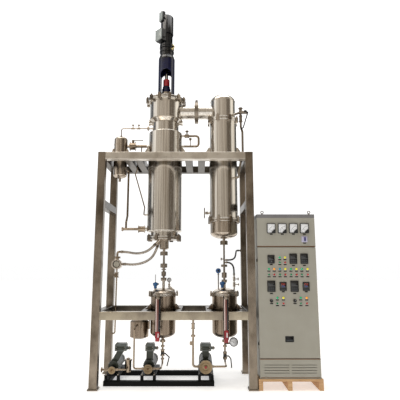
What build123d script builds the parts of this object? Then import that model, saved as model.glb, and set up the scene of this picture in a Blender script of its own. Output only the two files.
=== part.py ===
from build123d import *
import os
from math import asin, cos, radians, sin

# Wiped thin film evaporator on its stainless frame, with its control cabinet beside it.
# Millimetres. X to the right, Y away from the viewer, Z up. The origin is the middle of
# the whole set's footprint, on the floor.

os.makedirs("parts", exist_ok=True)

# Driving dimensions of the frame
frame_length = 1650.0
frame_depth = 713.0
frame_height = 2400.0
beam = 80.0
beam_wall = 4.0
beam_corner = 5.0
mid_beam_top = 743.0
side_rail_top = 1890.0
foot_size = 100.0
foot_thickness = 12.0

# Driving dimensions of the control cabinet and the pallet that it stands on
cabinet_width = 600.0
cabinet_depth = 400.0
cabinet_wall = 2.0
cabinet_top = 1728.0
cabinet_front_inset = 346.0
door_thickness = 18.0
door_top = 1386.0
door_bottom = 300.0
pallet_length = 632.0
pallet_depth = 420.0
pallet_height = 106.0
pallet_gap = 0.4

# Driving dimensions of the evaporator
barrel_radius = 154.0
barrel_wall = 6.0
jacket_radius = 194.0
jacket_wall = 4.0
jacket_bottom = 1570.0
jacket_top = 2716.0
chamber_radius = 190.5
chamber_bottom = 2868.0
cone_bottom = 2830.0
flange_radius = 220.0
flange_thickness = 16.0
flange_face = 3100.0
bottom_flange_radius = 180.0
bottom_face = 1501.0
sump_radius = 52.0
sump_bottom = 1378.0
duct_height = 2976.0
duct_radius = 79.5
duct_wall = 4.5
duct_flange_radius = 120.0
duct_flange_thickness = 12.0

# Driving dimensions of the rotor and its drive
shaft_radius = 20.0
shaft_top = 3680.0
shaft_bottom = 1420.0
running_clearance = 0.05
wiper_thickness = 10.0
wiper_gap = 3.0
rotor_top = 2815.0
rotor_bottom = 1600.0
stand_radius = 98.5
stand_wall = 11.0
stand_top = 3625.0
reducer_top = 3825.0
motor_radius = 68.0
motor_top = 3965.0
cowl_radius = 78.0
cowl_top = 4206.0

# Driving dimensions of the condenser
condenser_radius = 159.0
condenser_wall = 4.0
condenser_flange_radius = 168.0
condenser_top_face = 2862.0
condenser_bottom_face = 1701.0
dome_radius = 146.0
dome_edge = 3100.0
dome_crown = 3188.0
pot_edge = 1561.0
pot_crown = 1494.0
ring_thickness = 20.0

# Driving dimensions of the receivers and the smaller vessels
receiver_radius = 135.0
receiver_wall = 4.0
receiver_edge = 500.0
receiver_crown = 436.0
receiver_face = 893.0
receiver_flange_radius = 148.0
receiver_flange_thickness = 12.0
lid_crown = 962.0
preheater_radius = 77.0
preheater_top = 2640.0
preheater_bottom = 2225.0
buffer_radius = 100.0

# Driving dimensions of the pumps and their frame
pump_rail = 50.0
pump_frame_left = -715.0
pump_frame_right = 407.0
pump_frame_front = -211.0
pump_frame_rear = 245.0
pump_plate_top = 108.0
weld_gap = 0.2

# Reach of the level gauges in front of the frame's middle plane
gauge_reach = 410.0

# Places worked out from the sizes above
foot_overhang = (foot_size - beam) / 2
total_length = frame_length + 2 * foot_overhang + pallet_gap + pallet_length
frame_x = -total_length / 2 + foot_overhang + frame_length / 2
frame_y = (gauge_reach - frame_depth / 2 - foot_overhang) / 2
post_x = frame_length / 2 - beam / 2
post_y = frame_depth / 2 - beam / 2
bay_length = frame_length - 2 * beam
bay_depth = frame_depth - 2 * beam
evaporator_x = frame_x - 138.0
condenser_x = frame_x + 529.0
preheater_x = frame_x - 655.0
buffer_x = frame_x - 400.0
buffer_y = frame_y + 60.0
cabinet_x = total_length / 2 - pallet_length / 2
cabinet_front = frame_y - cabinet_front_inset
cabinet_back = cabinet_front + cabinet_depth
cabinet_bottom = pallet_height
pump_axis_height = pump_plate_top + 82.0
pump_places = (frame_x - 629.0, frame_x - 264.0, frame_x + 320.0)
pump_cover_radii = (36.0, 46.0, 66.0)
cross_places = (frame_x - 515.0, frame_x - 400.0, frame_x + 140.0, frame_x + 279.0)
receiver_places = (evaporator_x, condenser_x)
receiver_beam_width = 60.0
receiver_beam_offset = 175.0
receiver_beam_places = [x + side * receiver_beam_offset for x in receiver_places for side in (-1, 1)]
duct_meeting_x = frame_x + 221.5


# Plane through an upright axis, its first direction turned by an angle in degrees
def radial_plane(x, y, angle=0.0):
    turn = radians(angle)
    return Plane(origin=(x, y, 0), x_dir=(cos(turn), sin(turn), 0), z_dir=(sin(turn), -cos(turn), 0))


# Body turned about the upright axis through x, y from (radius, height) points
def turned(profile, x, y, mode=Mode.ADD):
    with BuildSketch(radial_plane(x, y)) as half:
        with BuildLine():
            Polyline(*profile, close=True)
        make_face()
    revolve(half.sketch, axis=Axis((x, y, 0), (0, 0, 1)), mode=mode)


# Solid dished end: its rim at one height and its crown at another
def dished(x, y, radius, rim, crown, mode=Mode.ADD):
    first_angle = 0 if crown > rim else 270
    with BuildSketch(radial_plane(x, y)) as half:
        with BuildLine():
            EllipticalCenterArc((0, rim), radius, abs(crown - rim), first_angle, arc_size=90)
            Line((0, crown), (0, rim))
            Line((0, rim), (radius, rim))
        make_face()
    revolve(half.sketch, axis=Axis((x, y, 0), (0, 0, 1)), mode=mode)


# Rim, middle and crown of a shallow spherical end that stands a rise above its rim
def cap_points(radius, rim, rise):
    sphere = (radius ** 2 + rise ** 2) / (2 * abs(rise))
    side = 1 if rise > 0 else -1
    half_angle = asin(radius / sphere) / 2
    middle = (sphere * sin(half_angle), rim + rise - side * sphere * (1 - cos(half_angle)))
    return ((radius, rim), middle, (0, rim + rise))


# Closed vessel with a shallow end below and above, turned in one piece
def capsule(x, y, radius, low, bottom_rise, high, top_rise, mode=Mode.ADD):
    with BuildSketch(radial_plane(x, y)) as half:
        with BuildLine():
            ThreePointArc(*cap_points(radius, low, -bottom_rise))
            Line((radius, low), (radius, high))
            ThreePointArc(*cap_points(radius, high, top_rise))
            Line((0, high + top_rise), (0, low - bottom_rise))
        make_face()
    revolve(half.sketch, axis=Axis((x, y, 0), (0, 0, 1)), mode=mode)


# Round bar from one point to another, or a tube where a bore radius is given
def bar(start, end, radius, bore=0.0, mode=Mode.ADD):
    run = Vector(*end) - Vector(*start)
    with BuildSketch(Plane(origin=start, z_dir=run)) as section:
        Circle(radius)
        if bore:
            Circle(bore, mode=Mode.SUBTRACT)
    extrude(section.sketch, amount=run.length, mode=mode)


# Pipe along straight runs joined by bends of one radius
def bent_pipe(points, radius, bend):
    with BuildLine() as route:
        FilletPolyline(*points, radius=bend)
    with BuildSketch(Plane(origin=points[0], z_dir=Vector(*points[1]) - Vector(*points[0]))) as section:
        Circle(radius)
    sweep(section.sketch, path=route.wires()[0])


# Upright plate, bar or block between two opposite corners
def block(low, high, mode=Mode.ADD):
    with BuildSketch(Plane.XY.offset(low[2])) as plan:
        with Locations(((low[0] + high[0]) / 2, (low[1] + high[1]) / 2)):
            Rectangle(high[0] - low[0], high[1] - low[1])
    extrude(plan.sketch, amount=high[2] - low[2], mode=mode)


# Point measured from the middle of the frame's footprint
def at(x, y, z):
    return (frame_x + x, frame_y + y, z)


# Square tube of the frame's wall, from one point to another along X or Y
def frame_tube(start, end, width=beam, height=beam, wall=beam_wall):
    run = Vector(*end) - Vector(*start)
    with BuildSketch(Plane(origin=start, x_dir=(0, 0, 1), z_dir=run)) as section:
        RectangleRounded(height, width, beam_corner)
        Rectangle(height - 2 * wall, width - 2 * wall, mode=Mode.SUBTRACT)
    extrude(section.sketch, amount=run.length)


# Welded support lug: a foot plate with two gussets, standing out from a vessel along X
def support_lug(x, y, side, wall, reach, seat, rise, width=90.0, plate=10.0):
    near, far = sorted((x + side * (wall - 25.0), x + side * reach))
    block((near, y - width / 2, seat), (far, y + width / 2, seat + plate))
    for edge in (-1, 1):
        gusset_y = y + edge * (width / 2 - plate / 2)
        with BuildSketch(Plane.XZ.offset(-gusset_y)) as gusset:
            with BuildLine():
                Polyline(
                    (x + side * (wall - 25.0), seat),
                    (x + side * (reach - plate), seat),
                    (x + side * (wall + plate), seat + rise),
                    (x + side * (wall - 25.0), seat + rise),
                    close=True,
                )
            make_face()
        extrude(gusset.sketch, amount=plate / 2, both=True)


# C-shaped flange clamp at one angle, its screw standing above it
def flange_clamp(x, y, angle, rim, low, high, grip=20.0, back=15.0, jaw=13.0, width=32.0):
    with BuildSketch(radial_plane(x, y, angle)) as profile:
        with BuildLine():
            Polyline(
                (rim - grip, low - jaw),
                (rim + back, low - jaw),
                (rim + back, high + jaw),
                (rim - grip, high + jaw),
                (rim - grip, high),
                (rim + 1.0, high),
                (rim + 1.0, low),
                (rim - grip, low),
                close=True,
            )
        make_face()
    extrude(profile.sketch, amount=width / 2, both=True)
    turn = radians(angle)
    screw = rim + (back - grip) / 2
    foot = (x + screw * cos(turn), y + screw * sin(turn), high + jaw)
    bar(foot, (foot[0], foot[1], foot[2] + 16.0), 8.0)


# Ball valve body between two collars, on a pipe that runs from start to end
def valve_body(start, end, radius):
    run = Vector(*end) - Vector(*start)
    collar = 7.0
    step = run.normalized() * collar
    first = tuple(Vector(*start) + step)
    last = tuple(Vector(*end) - step)
    bar(start, first, radius)
    bar(first, last, radius * 0.78)
    bar(last, end, radius)


# Clamped pipe joint: a wide short collar about the pipe's axis
def pipe_joint(centre, direction, radius, thickness=16.0):
    half = Vector(*direction).normalized() * (thickness / 2)
    bar(tuple(Vector(*centre) - half), tuple(Vector(*centre) + half), radius)


# Frame: four upright posts, closed at the top, each welded to its foot plate
with BuildPart() as frame_posts:
    post_corners = [(frame_x + i * post_x, frame_y + j * post_y) for i in (-1, 1) for j in (-1, 1)]
    with BuildSketch():
        with Locations(*post_corners):
            Rectangle(foot_size, foot_size)
    extrude(amount=foot_thickness)
    with BuildSketch(Plane.XY.offset(foot_thickness)):
        with Locations(*post_corners):
            RectangleRounded(beam, beam, beam_corner)
    extrude(amount=frame_height - foot_thickness)
    with BuildSketch(Plane.XY.offset(foot_thickness)):
        with Locations(*post_corners):
            Rectangle(beam - 2 * beam_wall, beam - 2 * beam_wall)
    extrude(amount=frame_height - foot_thickness - beam_wall, mode=Mode.SUBTRACT)
frame_posts.part.label = "frame_posts"
export_step(frame_posts.part, "parts/frame_posts.step")

# Frame: the long beams along the front and the back, at the top and at mid height
with BuildPart() as frame_beams:
    for side in (-1, 1):
        for top in (frame_height, mid_beam_top):
            start = at(-bay_length / 2, side * post_y, top - beam / 2)
            frame_tube(start, at(bay_length / 2, side * post_y, top - beam / 2))
frame_beams.part.label = "frame_beams"
export_step(frame_beams.part, "parts/frame_beams.step")

# Frame: everything that runs from the front to the back, and carries the vessels
with BuildPart() as frame_rails:
    for side in (-1, 1):
        for top in (frame_height, side_rail_top, mid_beam_top):
            start = at(side * post_x, -bay_depth / 2, top - beam / 2)
            frame_tube(start, at(side * post_x, bay_depth / 2, top - beam / 2))
    for x in cross_places:
        level = frame_height - beam / 2
        frame_tube((x, frame_y - bay_depth / 2, level), (x, frame_y + bay_depth / 2, level))
    for x in receiver_beam_places:
        level = mid_beam_top - beam / 2
        start = (x, frame_y - bay_depth / 2, level)
        frame_tube(start, (x, frame_y + bay_depth / 2, level), width=receiver_beam_width)
frame_rails.part.label = "frame_rails"
export_step(frame_rails.part, "parts/frame_rails.step")

# Evaporator: barrel, widened vapour chamber, their flanges and the vapour duct
feed_height = 2782.0
side_port_height = 2845.0
side_port_reach = barrel_radius + 44.0
barrel_bore = barrel_radius - barrel_wall
chamber_bore = chamber_radius - barrel_wall
bottom_flange_top = bottom_face + 18.0
feed_face_x = evaporator_x - barrel_radius - 43.0
with BuildPart() as evaporator_body:
    turned(
        [
            (0, bottom_face),
            (bottom_flange_radius, bottom_face),
            (bottom_flange_radius, bottom_flange_top),
            (barrel_radius, bottom_flange_top),
            (barrel_radius, cone_bottom),
            (chamber_radius, chamber_bottom),
            (chamber_radius, flange_face - flange_thickness),
            (flange_radius, flange_face - flange_thickness),
            (flange_radius, flange_face),
            (0, flange_face),
        ],
        evaporator_x,
        frame_y,
    )
    duct_start = (evaporator_x, frame_y, duct_height)
    duct_end = (duct_meeting_x, frame_y, duct_height)
    bar(duct_start, duct_end, duct_radius)
    bar((duct_meeting_x - duct_flange_thickness, frame_y, duct_height), duct_end, duct_flange_radius)
    feed_start = (evaporator_x, frame_y, feed_height)
    feed_end = (feed_face_x, frame_y, feed_height)
    bar(feed_start, feed_end, 11.0)
    bar((feed_face_x + 6.0, frame_y, feed_height), feed_end, 25.0)
    for side in (-1, 1):
        port_end = (evaporator_x + side * side_port_reach, frame_y, side_port_height)
        bar((evaporator_x, frame_y, side_port_height), port_end, 25.0)
        bar((port_end[0] - side * 14.0, frame_y, side_port_height), port_end, 32.0)
    turned(
        [
            (0, bottom_face),
            (barrel_bore, bottom_face),
            (barrel_bore, cone_bottom),
            (chamber_bore, chamber_bottom),
            (chamber_bore, flange_face),
            (0, flange_face),
        ],
        evaporator_x,
        frame_y,
        Mode.SUBTRACT,
    )
    bar(duct_start, duct_end, duct_radius - duct_wall, mode=Mode.SUBTRACT)
    bar(feed_start, feed_end, 8.0, mode=Mode.SUBTRACT)
evaporator_body.part.label = "evaporator_body"
export_step(evaporator_body.part, "parts/evaporator_body.step")

# Heating jacket round the barrel, with the two lugs that hang the evaporator in the frame
jacket_corner = 12.0
jacket_bore = jacket_radius - jacket_wall
jacket_hole = barrel_radius + 0.2
lug_seat = frame_height
lug_rise = 137.0
upper_nozzle_height = 2566.0
lower_nozzle_height = 1605.0
loop_top_height = 2690.0
jacket_nozzle_face = jacket_radius + 22.0
slanted_nozzle_height = 1765.0
with BuildPart() as heating_jacket:
    with BuildSketch(radial_plane(evaporator_x, frame_y)) as jacket_half:
        with BuildLine():
            RadiusArc(
                (jacket_radius - jacket_corner, jacket_bottom),
                (jacket_radius, jacket_bottom + jacket_corner),
                -jacket_corner,
            )
            Line((jacket_radius, jacket_bottom + jacket_corner), (jacket_radius, jacket_top - jacket_corner))
            RadiusArc(
                (jacket_radius, jacket_top - jacket_corner),
                (jacket_radius - jacket_corner, jacket_top),
                -jacket_corner,
            )
            Polyline(
                (jacket_radius - jacket_corner, jacket_top),
                (jacket_hole, jacket_top),
                (jacket_hole, jacket_bottom),
                (jacket_radius - jacket_corner, jacket_bottom),
            )
        make_face()
    revolve(jacket_half.sketch, axis=Axis((evaporator_x, frame_y, 0), (0, 0, 1)))
    for side in (-1, 1):
        support_lug(evaporator_x, frame_y, side, jacket_radius, 300.0, lug_seat, lug_rise)
    jacket_nozzles = (
        (-1, upper_nozzle_height, 17.0),
        (-1, lower_nozzle_height, 19.0),
        (-1, slanted_nozzle_height, 10.0),
        (1, upper_nozzle_height, 13.5),
        (1, loop_top_height, 13.5),
    )
    for side, height, nozzle_radius in jacket_nozzles:
        nozzle_start = (evaporator_x + side * (jacket_bore - 8.0), frame_y, height)
        nozzle_end = (evaporator_x + side * jacket_nozzle_face, frame_y, height)
        bar(nozzle_start, nozzle_end, nozzle_radius)
    turned(
        [
            (barrel_radius - 30.0, jacket_bottom + jacket_wall),
            (jacket_bore - 8.0, jacket_bottom + jacket_wall),
            (jacket_bore, jacket_bottom + jacket_corner),
            (jacket_bore, jacket_top - jacket_corner),
            (jacket_bore - 8.0, jacket_top - jacket_wall),
            (barrel_radius - 30.0, jacket_top - jacket_wall),
        ],
        evaporator_x,
        frame_y,
        Mode.SUBTRACT,
    )
    for side, height, nozzle_radius in jacket_nozzles:
        nozzle_start = (evaporator_x + side * (jacket_bore - 8.0), frame_y, height)
        nozzle_end = (evaporator_x + side * jacket_nozzle_face, frame_y, height)
        bar(nozzle_start, nozzle_end, nozzle_radius - 3.0, mode=Mode.SUBTRACT)
heating_jacket.part.label = "heating_jacket"
export_step(heating_jacket.part, "parts/heating_jacket.step")

# Top cover of the evaporator, with the opening that the shaft seal stands over
cover_top = flange_face + 18.0
cover_opening = 40.0
with BuildPart() as top_cover:
    turned(
        [
            (cover_opening, flange_face),
            (flange_radius, flange_face),
            (flange_radius, cover_top),
            (cover_opening, cover_top),
        ],
        evaporator_x,
        frame_y,
    )
top_cover.part.label = "top_cover"
export_step(top_cover.part, "parts/top_cover.step")

# Bottom head: cover plate, sump cup, residue outlet and the two stubs for the metal hoses
head_plate_bottom = bottom_face - 19.0
sump_wall = 5.0
residue_radius = 15.0
residue_face = 1350.0
hose_radius = 14.0
upper_stub = (at(-185, -30, head_plate_bottom), at(-227, -30, 1440))
lower_stub = (at(-190, 35, head_plate_bottom), at(-211, 35, 1426))
with BuildPart() as bottom_head:
    turned(
        [
            (0, residue_face),
            (38.0, residue_face),
            (38.0, residue_face + 6.0),
            (residue_radius, residue_face + 6.0),
            (residue_radius, sump_bottom),
            (sump_radius - 12.0, sump_bottom),
            (sump_radius, sump_bottom + 12.0),
            (sump_radius, head_plate_bottom),
            (bottom_flange_radius, head_plate_bottom),
            (bottom_flange_radius, bottom_face),
            (0, bottom_face),
        ],
        evaporator_x,
        frame_y,
    )
    for foot, mouth in (upper_stub, lower_stub):
        run = (Vector(*mouth) - Vector(*foot)).normalized() * 6.0
        bar(tuple(Vector(*foot) - run), mouth, hose_radius - 1.0)
    turned(
        [
            (0, residue_face),
            (10.0, residue_face),
            (10.0, sump_bottom + sump_wall),
            (sump_radius - 16.0, sump_bottom + sump_wall),
            (sump_radius - sump_wall, sump_bottom + 16.0),
            (sump_radius - sump_wall, bottom_face),
            (0, bottom_face),
        ],
        evaporator_x,
        frame_y,
        Mode.SUBTRACT,
    )
bottom_head.part.label = "bottom_head"
export_step(bottom_head.part, "parts/bottom_head.step")

# Clamps round the flanged joints, and the clamp ring round the vapour duct's joint
ring_radius = duct_flange_radius + 0.3
ring_outer = 128.5
ring_half = 21.5
ring_lip = 101.0
with BuildPart() as flange_clamps:
    for number in range(12):
        angle = number * 30.0 + 15.0
        flange_clamp(evaporator_x, frame_y, angle, flange_radius, flange_face - flange_thickness, cover_top)
    for number in range(8):
        angle = number * 45.0 + 22.5
        flange_clamp(evaporator_x, frame_y, angle, bottom_flange_radius, head_plate_bottom, bottom_flange_top)
        for face in (condenser_top_face, condenser_bottom_face):
            low = face - ring_thickness
            flange_clamp(condenser_x, frame_y, angle, condenser_flange_radius, low, low + 2 * ring_thickness, 7.0)
    for x in receiver_places:
        for angle in (10.0, 100.0, 190.0, 215.0, 325.0):
            low = receiver_face - receiver_flange_thickness
            high = receiver_face + receiver_flange_thickness
            flange_clamp(x, frame_y, angle, receiver_flange_radius, low, high, 8.0, 12.0, 9.0, 22.0)
    ring_plane = Plane(origin=(duct_meeting_x, frame_y, duct_height), x_dir=(1, 0, 0), z_dir=(0, -1, 0))
    with BuildSketch(ring_plane) as ring_half_section:
        with BuildLine():
            Polyline(
                (-ring_half, ring_lip),
                (-ring_half, ring_outer),
                (ring_half, ring_outer),
                (ring_half, ring_lip),
                (duct_flange_thickness + 0.3, ring_lip),
                (duct_flange_thickness + 0.3, ring_radius),
                (-duct_flange_thickness - 0.3, ring_radius),
                (-duct_flange_thickness - 0.3, ring_lip),
                close=True,
            )
        make_face()
    revolve(ring_half_section.sketch, axis=Axis((duct_meeting_x, frame_y, duct_height), (1, 0, 0)))
    ear_low = duct_height + ring_outer - 4.0
    for side in (-1, 1):
        block(
            (duct_meeting_x - 14.0, frame_y + side * 12.0 - 4.0, ear_low),
            (duct_meeting_x + 14.0, frame_y + side * 12.0 + 4.0, ear_low + 26.0),
        )
    bar(
        (duct_meeting_x, frame_y - 20.0, ear_low + 16.0),
        (duct_meeting_x, frame_y + 20.0, ear_low + 16.0),
        4.0,
    )
flange_clamps.part.label = "flange_clamps"
export_step(flange_clamps.part, "parts/flange_clamps.step")

# Shaft seal on the cover, and the guide bearing that the shaft's lower end turns in
seal_bore = shaft_radius + running_clearance
guide_top = 1465.0
guide_web = 8.0
with BuildPart() as seal_and_bearing:
    turned(
        [
            (seal_bore, cover_top),
            (75.0, cover_top),
            (75.0, cover_top + 12.0),
            (51.0, cover_top + 12.0),
            (51.0, cover_top + 82.0),
            (58.0, cover_top + 82.0),
            (58.0, cover_top + 97.0),
            (51.0, cover_top + 97.0),
            (51.0, cover_top + 144.0),
            (44.0, cover_top + 144.0),
            (44.0, cover_top + 172.0),
            (seal_bore, cover_top + 172.0),
        ],
        evaporator_x,
        frame_y,
    )
    turned(
        [
            (seal_bore, shaft_bottom + 5.0),
            (30.0, shaft_bottom + 5.0),
            (30.0, guide_top - guide_web),
            (sump_radius - sump_wall - 0.2, guide_top - guide_web),
            (sump_radius - sump_wall - 0.2, guide_top),
            (seal_bore, guide_top),
        ],
        evaporator_x,
        frame_y,
    )
    with BuildSketch(Plane.XY.offset(guide_top - guide_web)):
        with Locations((evaporator_x, frame_y)):
            with PolarLocations(38.5, 6):
                Circle(6.0)
    extrude(amount=guide_web, mode=Mode.SUBTRACT)
seal_and_bearing.part.label = "seal_and_bearing"
export_step(seal_and_bearing.part, "parts/seal_and_bearing.step")

# Rotor: shaft, coupling, end discs and the four slotted carriers that hold the wipers
coupling_bottom = 3300.0
coupling_top = 3380.0
carrier_inner = 95.0
carrier_outer = 128.0
carrier_width = 24.0
carrier_count = 4
end_disc_radius = 125.0
end_disc_thickness = 15.0
steady_disc_radius = carrier_inner + 2.0
slot_width = wiper_thickness + 0.4
slot_floor = carrier_inner + 5.0
with BuildPart() as rotor_shaft:
    turned(
        [
            (0, shaft_bottom),
            (shaft_radius, shaft_bottom),
            (shaft_radius, coupling_bottom),
            (38.0, coupling_bottom),
            (38.0, coupling_top),
            (shaft_radius, coupling_top),
            (shaft_radius, shaft_top),
            (0, shaft_top),
        ],
        evaporator_x,
        frame_y,
    )
    for level in (rotor_bottom, rotor_top - end_disc_thickness):
        bar((evaporator_x, frame_y, level), (evaporator_x, frame_y, level + end_disc_thickness), end_disc_radius)
    for level in (2005.0, 2405.0):
        bar((evaporator_x, frame_y, level), (evaporator_x, frame_y, level + 10.0), steady_disc_radius)
    with BuildSketch(Plane.XY.offset(rotor_bottom + end_disc_thickness)):
        with Locations((evaporator_x, frame_y)):
            with PolarLocations((carrier_inner + carrier_outer) / 2, carrier_count, start_angle=45):
                Rectangle(carrier_outer - carrier_inner, carrier_width)
    extrude(amount=rotor_top - rotor_bottom - 2 * end_disc_thickness)
    with BuildSketch(Plane.XY.offset(rotor_bottom + end_disc_thickness)):
        with Locations((evaporator_x, frame_y)):
            with PolarLocations((slot_floor + carrier_outer) / 2 + 1.0, carrier_count, start_angle=45):
                Rectangle(carrier_outer - slot_floor + 2.0, slot_width)
    extrude(amount=rotor_top - rotor_bottom - 2 * end_disc_thickness, mode=Mode.SUBTRACT)
rotor_shaft.part.label = "rotor_shaft"
export_step(rotor_shaft.part, "parts/rotor_shaft.step")

# Wipers: four strips in the carriers, their outer edges cut with slanted grooves
wiper_inner = slot_floor + 0.2
wiper_outer = barrel_bore - wiper_gap
wiper_bottom = rotor_bottom + end_disc_thickness + 0.3
wiper_top = rotor_top - end_disc_thickness - 0.3
groove_pitch = 60.0
groove_depth = 8.0
groove_width = 6.0
groove_rise = 10.0
groove_count = int((wiper_top - wiper_bottom - groove_pitch / 2) / groove_pitch)
with BuildPart() as wiper_blades:
    for number in range(carrier_count):
        blade_plane = radial_plane(evaporator_x, frame_y, 45.0 + number * 360.0 / carrier_count)
        with BuildSketch(blade_plane) as blade:
            with Locations(((wiper_inner + wiper_outer) / 2, (wiper_bottom + wiper_top) / 2)):
                Rectangle(wiper_outer - wiper_inner, wiper_top - wiper_bottom)
            for groove in range(groove_count):
                level = wiper_bottom + groove_pitch * (groove + 0.75)
                with BuildLine():
                    Polyline(
                        (wiper_outer + 1.0, level + groove_rise),
                        (wiper_outer - groove_depth, level),
                        (wiper_outer - groove_depth, level - groove_width),
                        (wiper_outer + 1.0, level + groove_rise - groove_width),
                        close=True,
                    )
                make_face(mode=Mode.SUBTRACT)
        extrude(blade.sketch, amount=wiper_thickness / 2, both=True)
wiper_blades.part.label = "wiper_blades"
export_step(wiper_blades.part, "parts/wiper_blades.step")

# Motor stand: round lantern with a window at the front and the back
stand_bore = stand_radius - stand_wall
stand_flange_radius = 105.0
stand_flange_top = cover_top + 16.0
window_half_width = 62.0
window_bottom = 3160.0
window_top = 3490.0
with BuildPart() as motor_stand:
    turned(
        [
            (stand_bore, cover_top),
            (stand_flange_radius, cover_top),
            (stand_flange_radius, stand_flange_top),
            (stand_radius, stand_flange_top),
            (stand_radius, stand_top),
            (30.0, stand_top),
            (30.0, stand_top - 12.0),
            (stand_bore, stand_top - 12.0),
        ],
        evaporator_x,
        frame_y,
    )
    with BuildSketch(Plane.XZ.offset(-frame_y)):
        with Locations((evaporator_x, (window_bottom + window_top - window_half_width) / 2)):
            Rectangle(2 * window_half_width, window_top - window_half_width - window_bottom)
        with Locations((evaporator_x, window_top - window_half_width)):
            Circle(window_half_width)
    extrude(amount=stand_radius + 5.0, both=True, mode=Mode.SUBTRACT)
motor_stand.part.label = "motor_stand"
export_step(motor_stand.part, "parts/motor_stand.step")

# Reducer between the motor and the rotor's shaft, which ends inside it
with BuildPart() as gear_reducer:
    turned(
        [
            (seal_bore, stand_top),
            (98.0, stand_top),
            (98.0, stand_top + 15.0),
            (90.0, stand_top + 43.0),
            (80.0, stand_top + 58.0),
            (80.0, stand_top + 103.0),
            (88.0, stand_top + 103.0),
            (88.0, stand_top + 115.0),
            (78.0, stand_top + 115.0),
            (78.0, stand_top + 153.0),
            (88.0, stand_top + 153.0),
            (88.0, stand_top + 168.0),
            (82.0, stand_top + 168.0),
            (82.0, reducer_top - 25.0),
            (88.0, reducer_top - 25.0),
            (88.0, reducer_top),
            (0, reducer_top),
            (0, shaft_top + 5.0),
            (seal_bore, shaft_top + 5.0),
        ],
        evaporator_x,
        frame_y,
    )
gear_reducer.part.label = "gear_reducer"
export_step(gear_reducer.part, "parts/gear_reducer.step")

# Drive motor: finned case, terminal box and fan cowl with its own small box
fin_count = 24
with BuildPart() as drive_motor:
    with BuildSketch(Plane.XY.offset(reducer_top)):
        with Locations((evaporator_x, frame_y)):
            Circle(motor_radius - 7.0)
            with PolarLocations(motor_radius - 5.0, fin_count):
                Rectangle(10.0, 4.0)
    extrude(amount=motor_top - reducer_top)
    turned(
        [
            (0, motor_top),
            (cowl_radius, motor_top),
            (cowl_radius, cowl_top - 22.0),
            (cowl_radius - 8.0, cowl_top - 6.0),
            (cowl_radius - 22.0, cowl_top),
            (0, cowl_top),
        ],
        evaporator_x,
        frame_y,
    )
    for centre_x, centre_y, turn, low, high, width, depth in (
        (-66.0, -60.0, 45.0, 3850.0, 3990.0, 110.0, 70.0),
        (-52.0, -46.0, 33.0, 4119.0, 4236.0, 72.0, 40.0),
    ):
        with BuildSketch(Plane.XY.offset(low)):
            with Locations((evaporator_x + centre_x, frame_y + centre_y)):
                RectangleRounded(depth, width, 6.0, rotation=turn)
        extrude(amount=high - low)
drive_motor.part.label = "drive_motor"
export_step(drive_motor.part, "parts/drive_motor.step")

# Condenser shell: tall cylinder with a ring at each end, lugs and coolant nozzles
condenser_bore = condenser_radius - condenser_wall
condenser_lug_reach = 262.0
coolant_inlet_height = 1787.0
coolant_outlet_height = 2164.0
coolant_face = condenser_radius + 16.0
outlet_angle = -46.6
with BuildPart() as condenser_shell:
    turned(
        [
            (0, condenser_bottom_face),
            (condenser_flange_radius, condenser_bottom_face),
            (condenser_flange_radius, condenser_bottom_face + ring_thickness),
            (condenser_radius, condenser_bottom_face + ring_thickness),
            (condenser_radius, condenser_top_face - ring_thickness),
            (condenser_flange_radius, condenser_top_face - ring_thickness),
            (condenser_flange_radius, condenser_top_face),
            (0, condenser_top_face),
        ],
        condenser_x,
        frame_y,
    )
    for side in (-1, 1):
        support_lug(condenser_x, frame_y, side, condenser_radius, condenser_lug_reach, lug_seat, lug_rise)
    inlet_end = (condenser_x - coolant_face, frame_y, coolant_inlet_height)
    outlet_run = (cos(radians(outlet_angle)), sin(radians(outlet_angle)))
    outlet_end = (
        condenser_x + (coolant_face + 10.0) * outlet_run[0],
        frame_y + (coolant_face + 10.0) * outlet_run[1],
        coolant_outlet_height,
    )
    bar((condenser_x, frame_y, coolant_inlet_height), inlet_end, 13.0)
    bar((condenser_x, frame_y, coolant_outlet_height), outlet_end, 13.5)
    with BuildSketch(Plane.XY.offset(condenser_bottom_face)):
        with Locations((condenser_x, frame_y)):
            Circle(condenser_bore)
    extrude(amount=condenser_top_face - condenser_bottom_face, mode=Mode.SUBTRACT)
    bar((condenser_x, frame_y, coolant_inlet_height), inlet_end, 10.0, mode=Mode.SUBTRACT)
    bar((condenser_x, frame_y, coolant_outlet_height), outlet_end, 10.0, mode=Mode.SUBTRACT)
condenser_shell.part.label = "condenser_shell"
export_step(condenser_shell.part, "parts/condenser_shell.step")

# Condenser dome: takes the vapour duct on its left and the vent line on its right
vent_height = 2903.0
vent_face = 200.0
dome_bore = dome_radius - condenser_wall
dome_flange_radius = condenser_flange_radius
with BuildPart() as condenser_dome:
    bar((condenser_x, frame_y, condenser_top_face), (condenser_x, frame_y, dome_edge), dome_radius)
    dished(condenser_x, frame_y, dome_radius, dome_edge, dome_crown)
    bar(
        (condenser_x, frame_y, condenser_top_face),
        (condenser_x, frame_y, condenser_top_face + ring_thickness),
        dome_flange_radius,
    )
    duct_end = (duct_meeting_x, frame_y, duct_height)
    bar((condenser_x, frame_y, duct_height), duct_end, duct_radius)
    bar(duct_end, (duct_meeting_x + duct_flange_thickness, frame_y, duct_height), duct_flange_radius)
    vent_end = (condenser_x + vent_face * outlet_run[0], frame_y + vent_face * outlet_run[1], vent_height)
    bar((condenser_x, frame_y, vent_height), vent_end, 13.5)
    bar((condenser_x, frame_y, condenser_top_face), (condenser_x, frame_y, dome_edge), dome_bore, mode=Mode.SUBTRACT)
    dished(condenser_x, frame_y, dome_bore, dome_edge, dome_crown - condenser_wall, Mode.SUBTRACT)
    bar((condenser_x, frame_y, duct_height), duct_end, duct_radius - duct_wall, mode=Mode.SUBTRACT)
    bar((condenser_x, frame_y, vent_height), vent_end, 10.0, mode=Mode.SUBTRACT)
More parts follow.
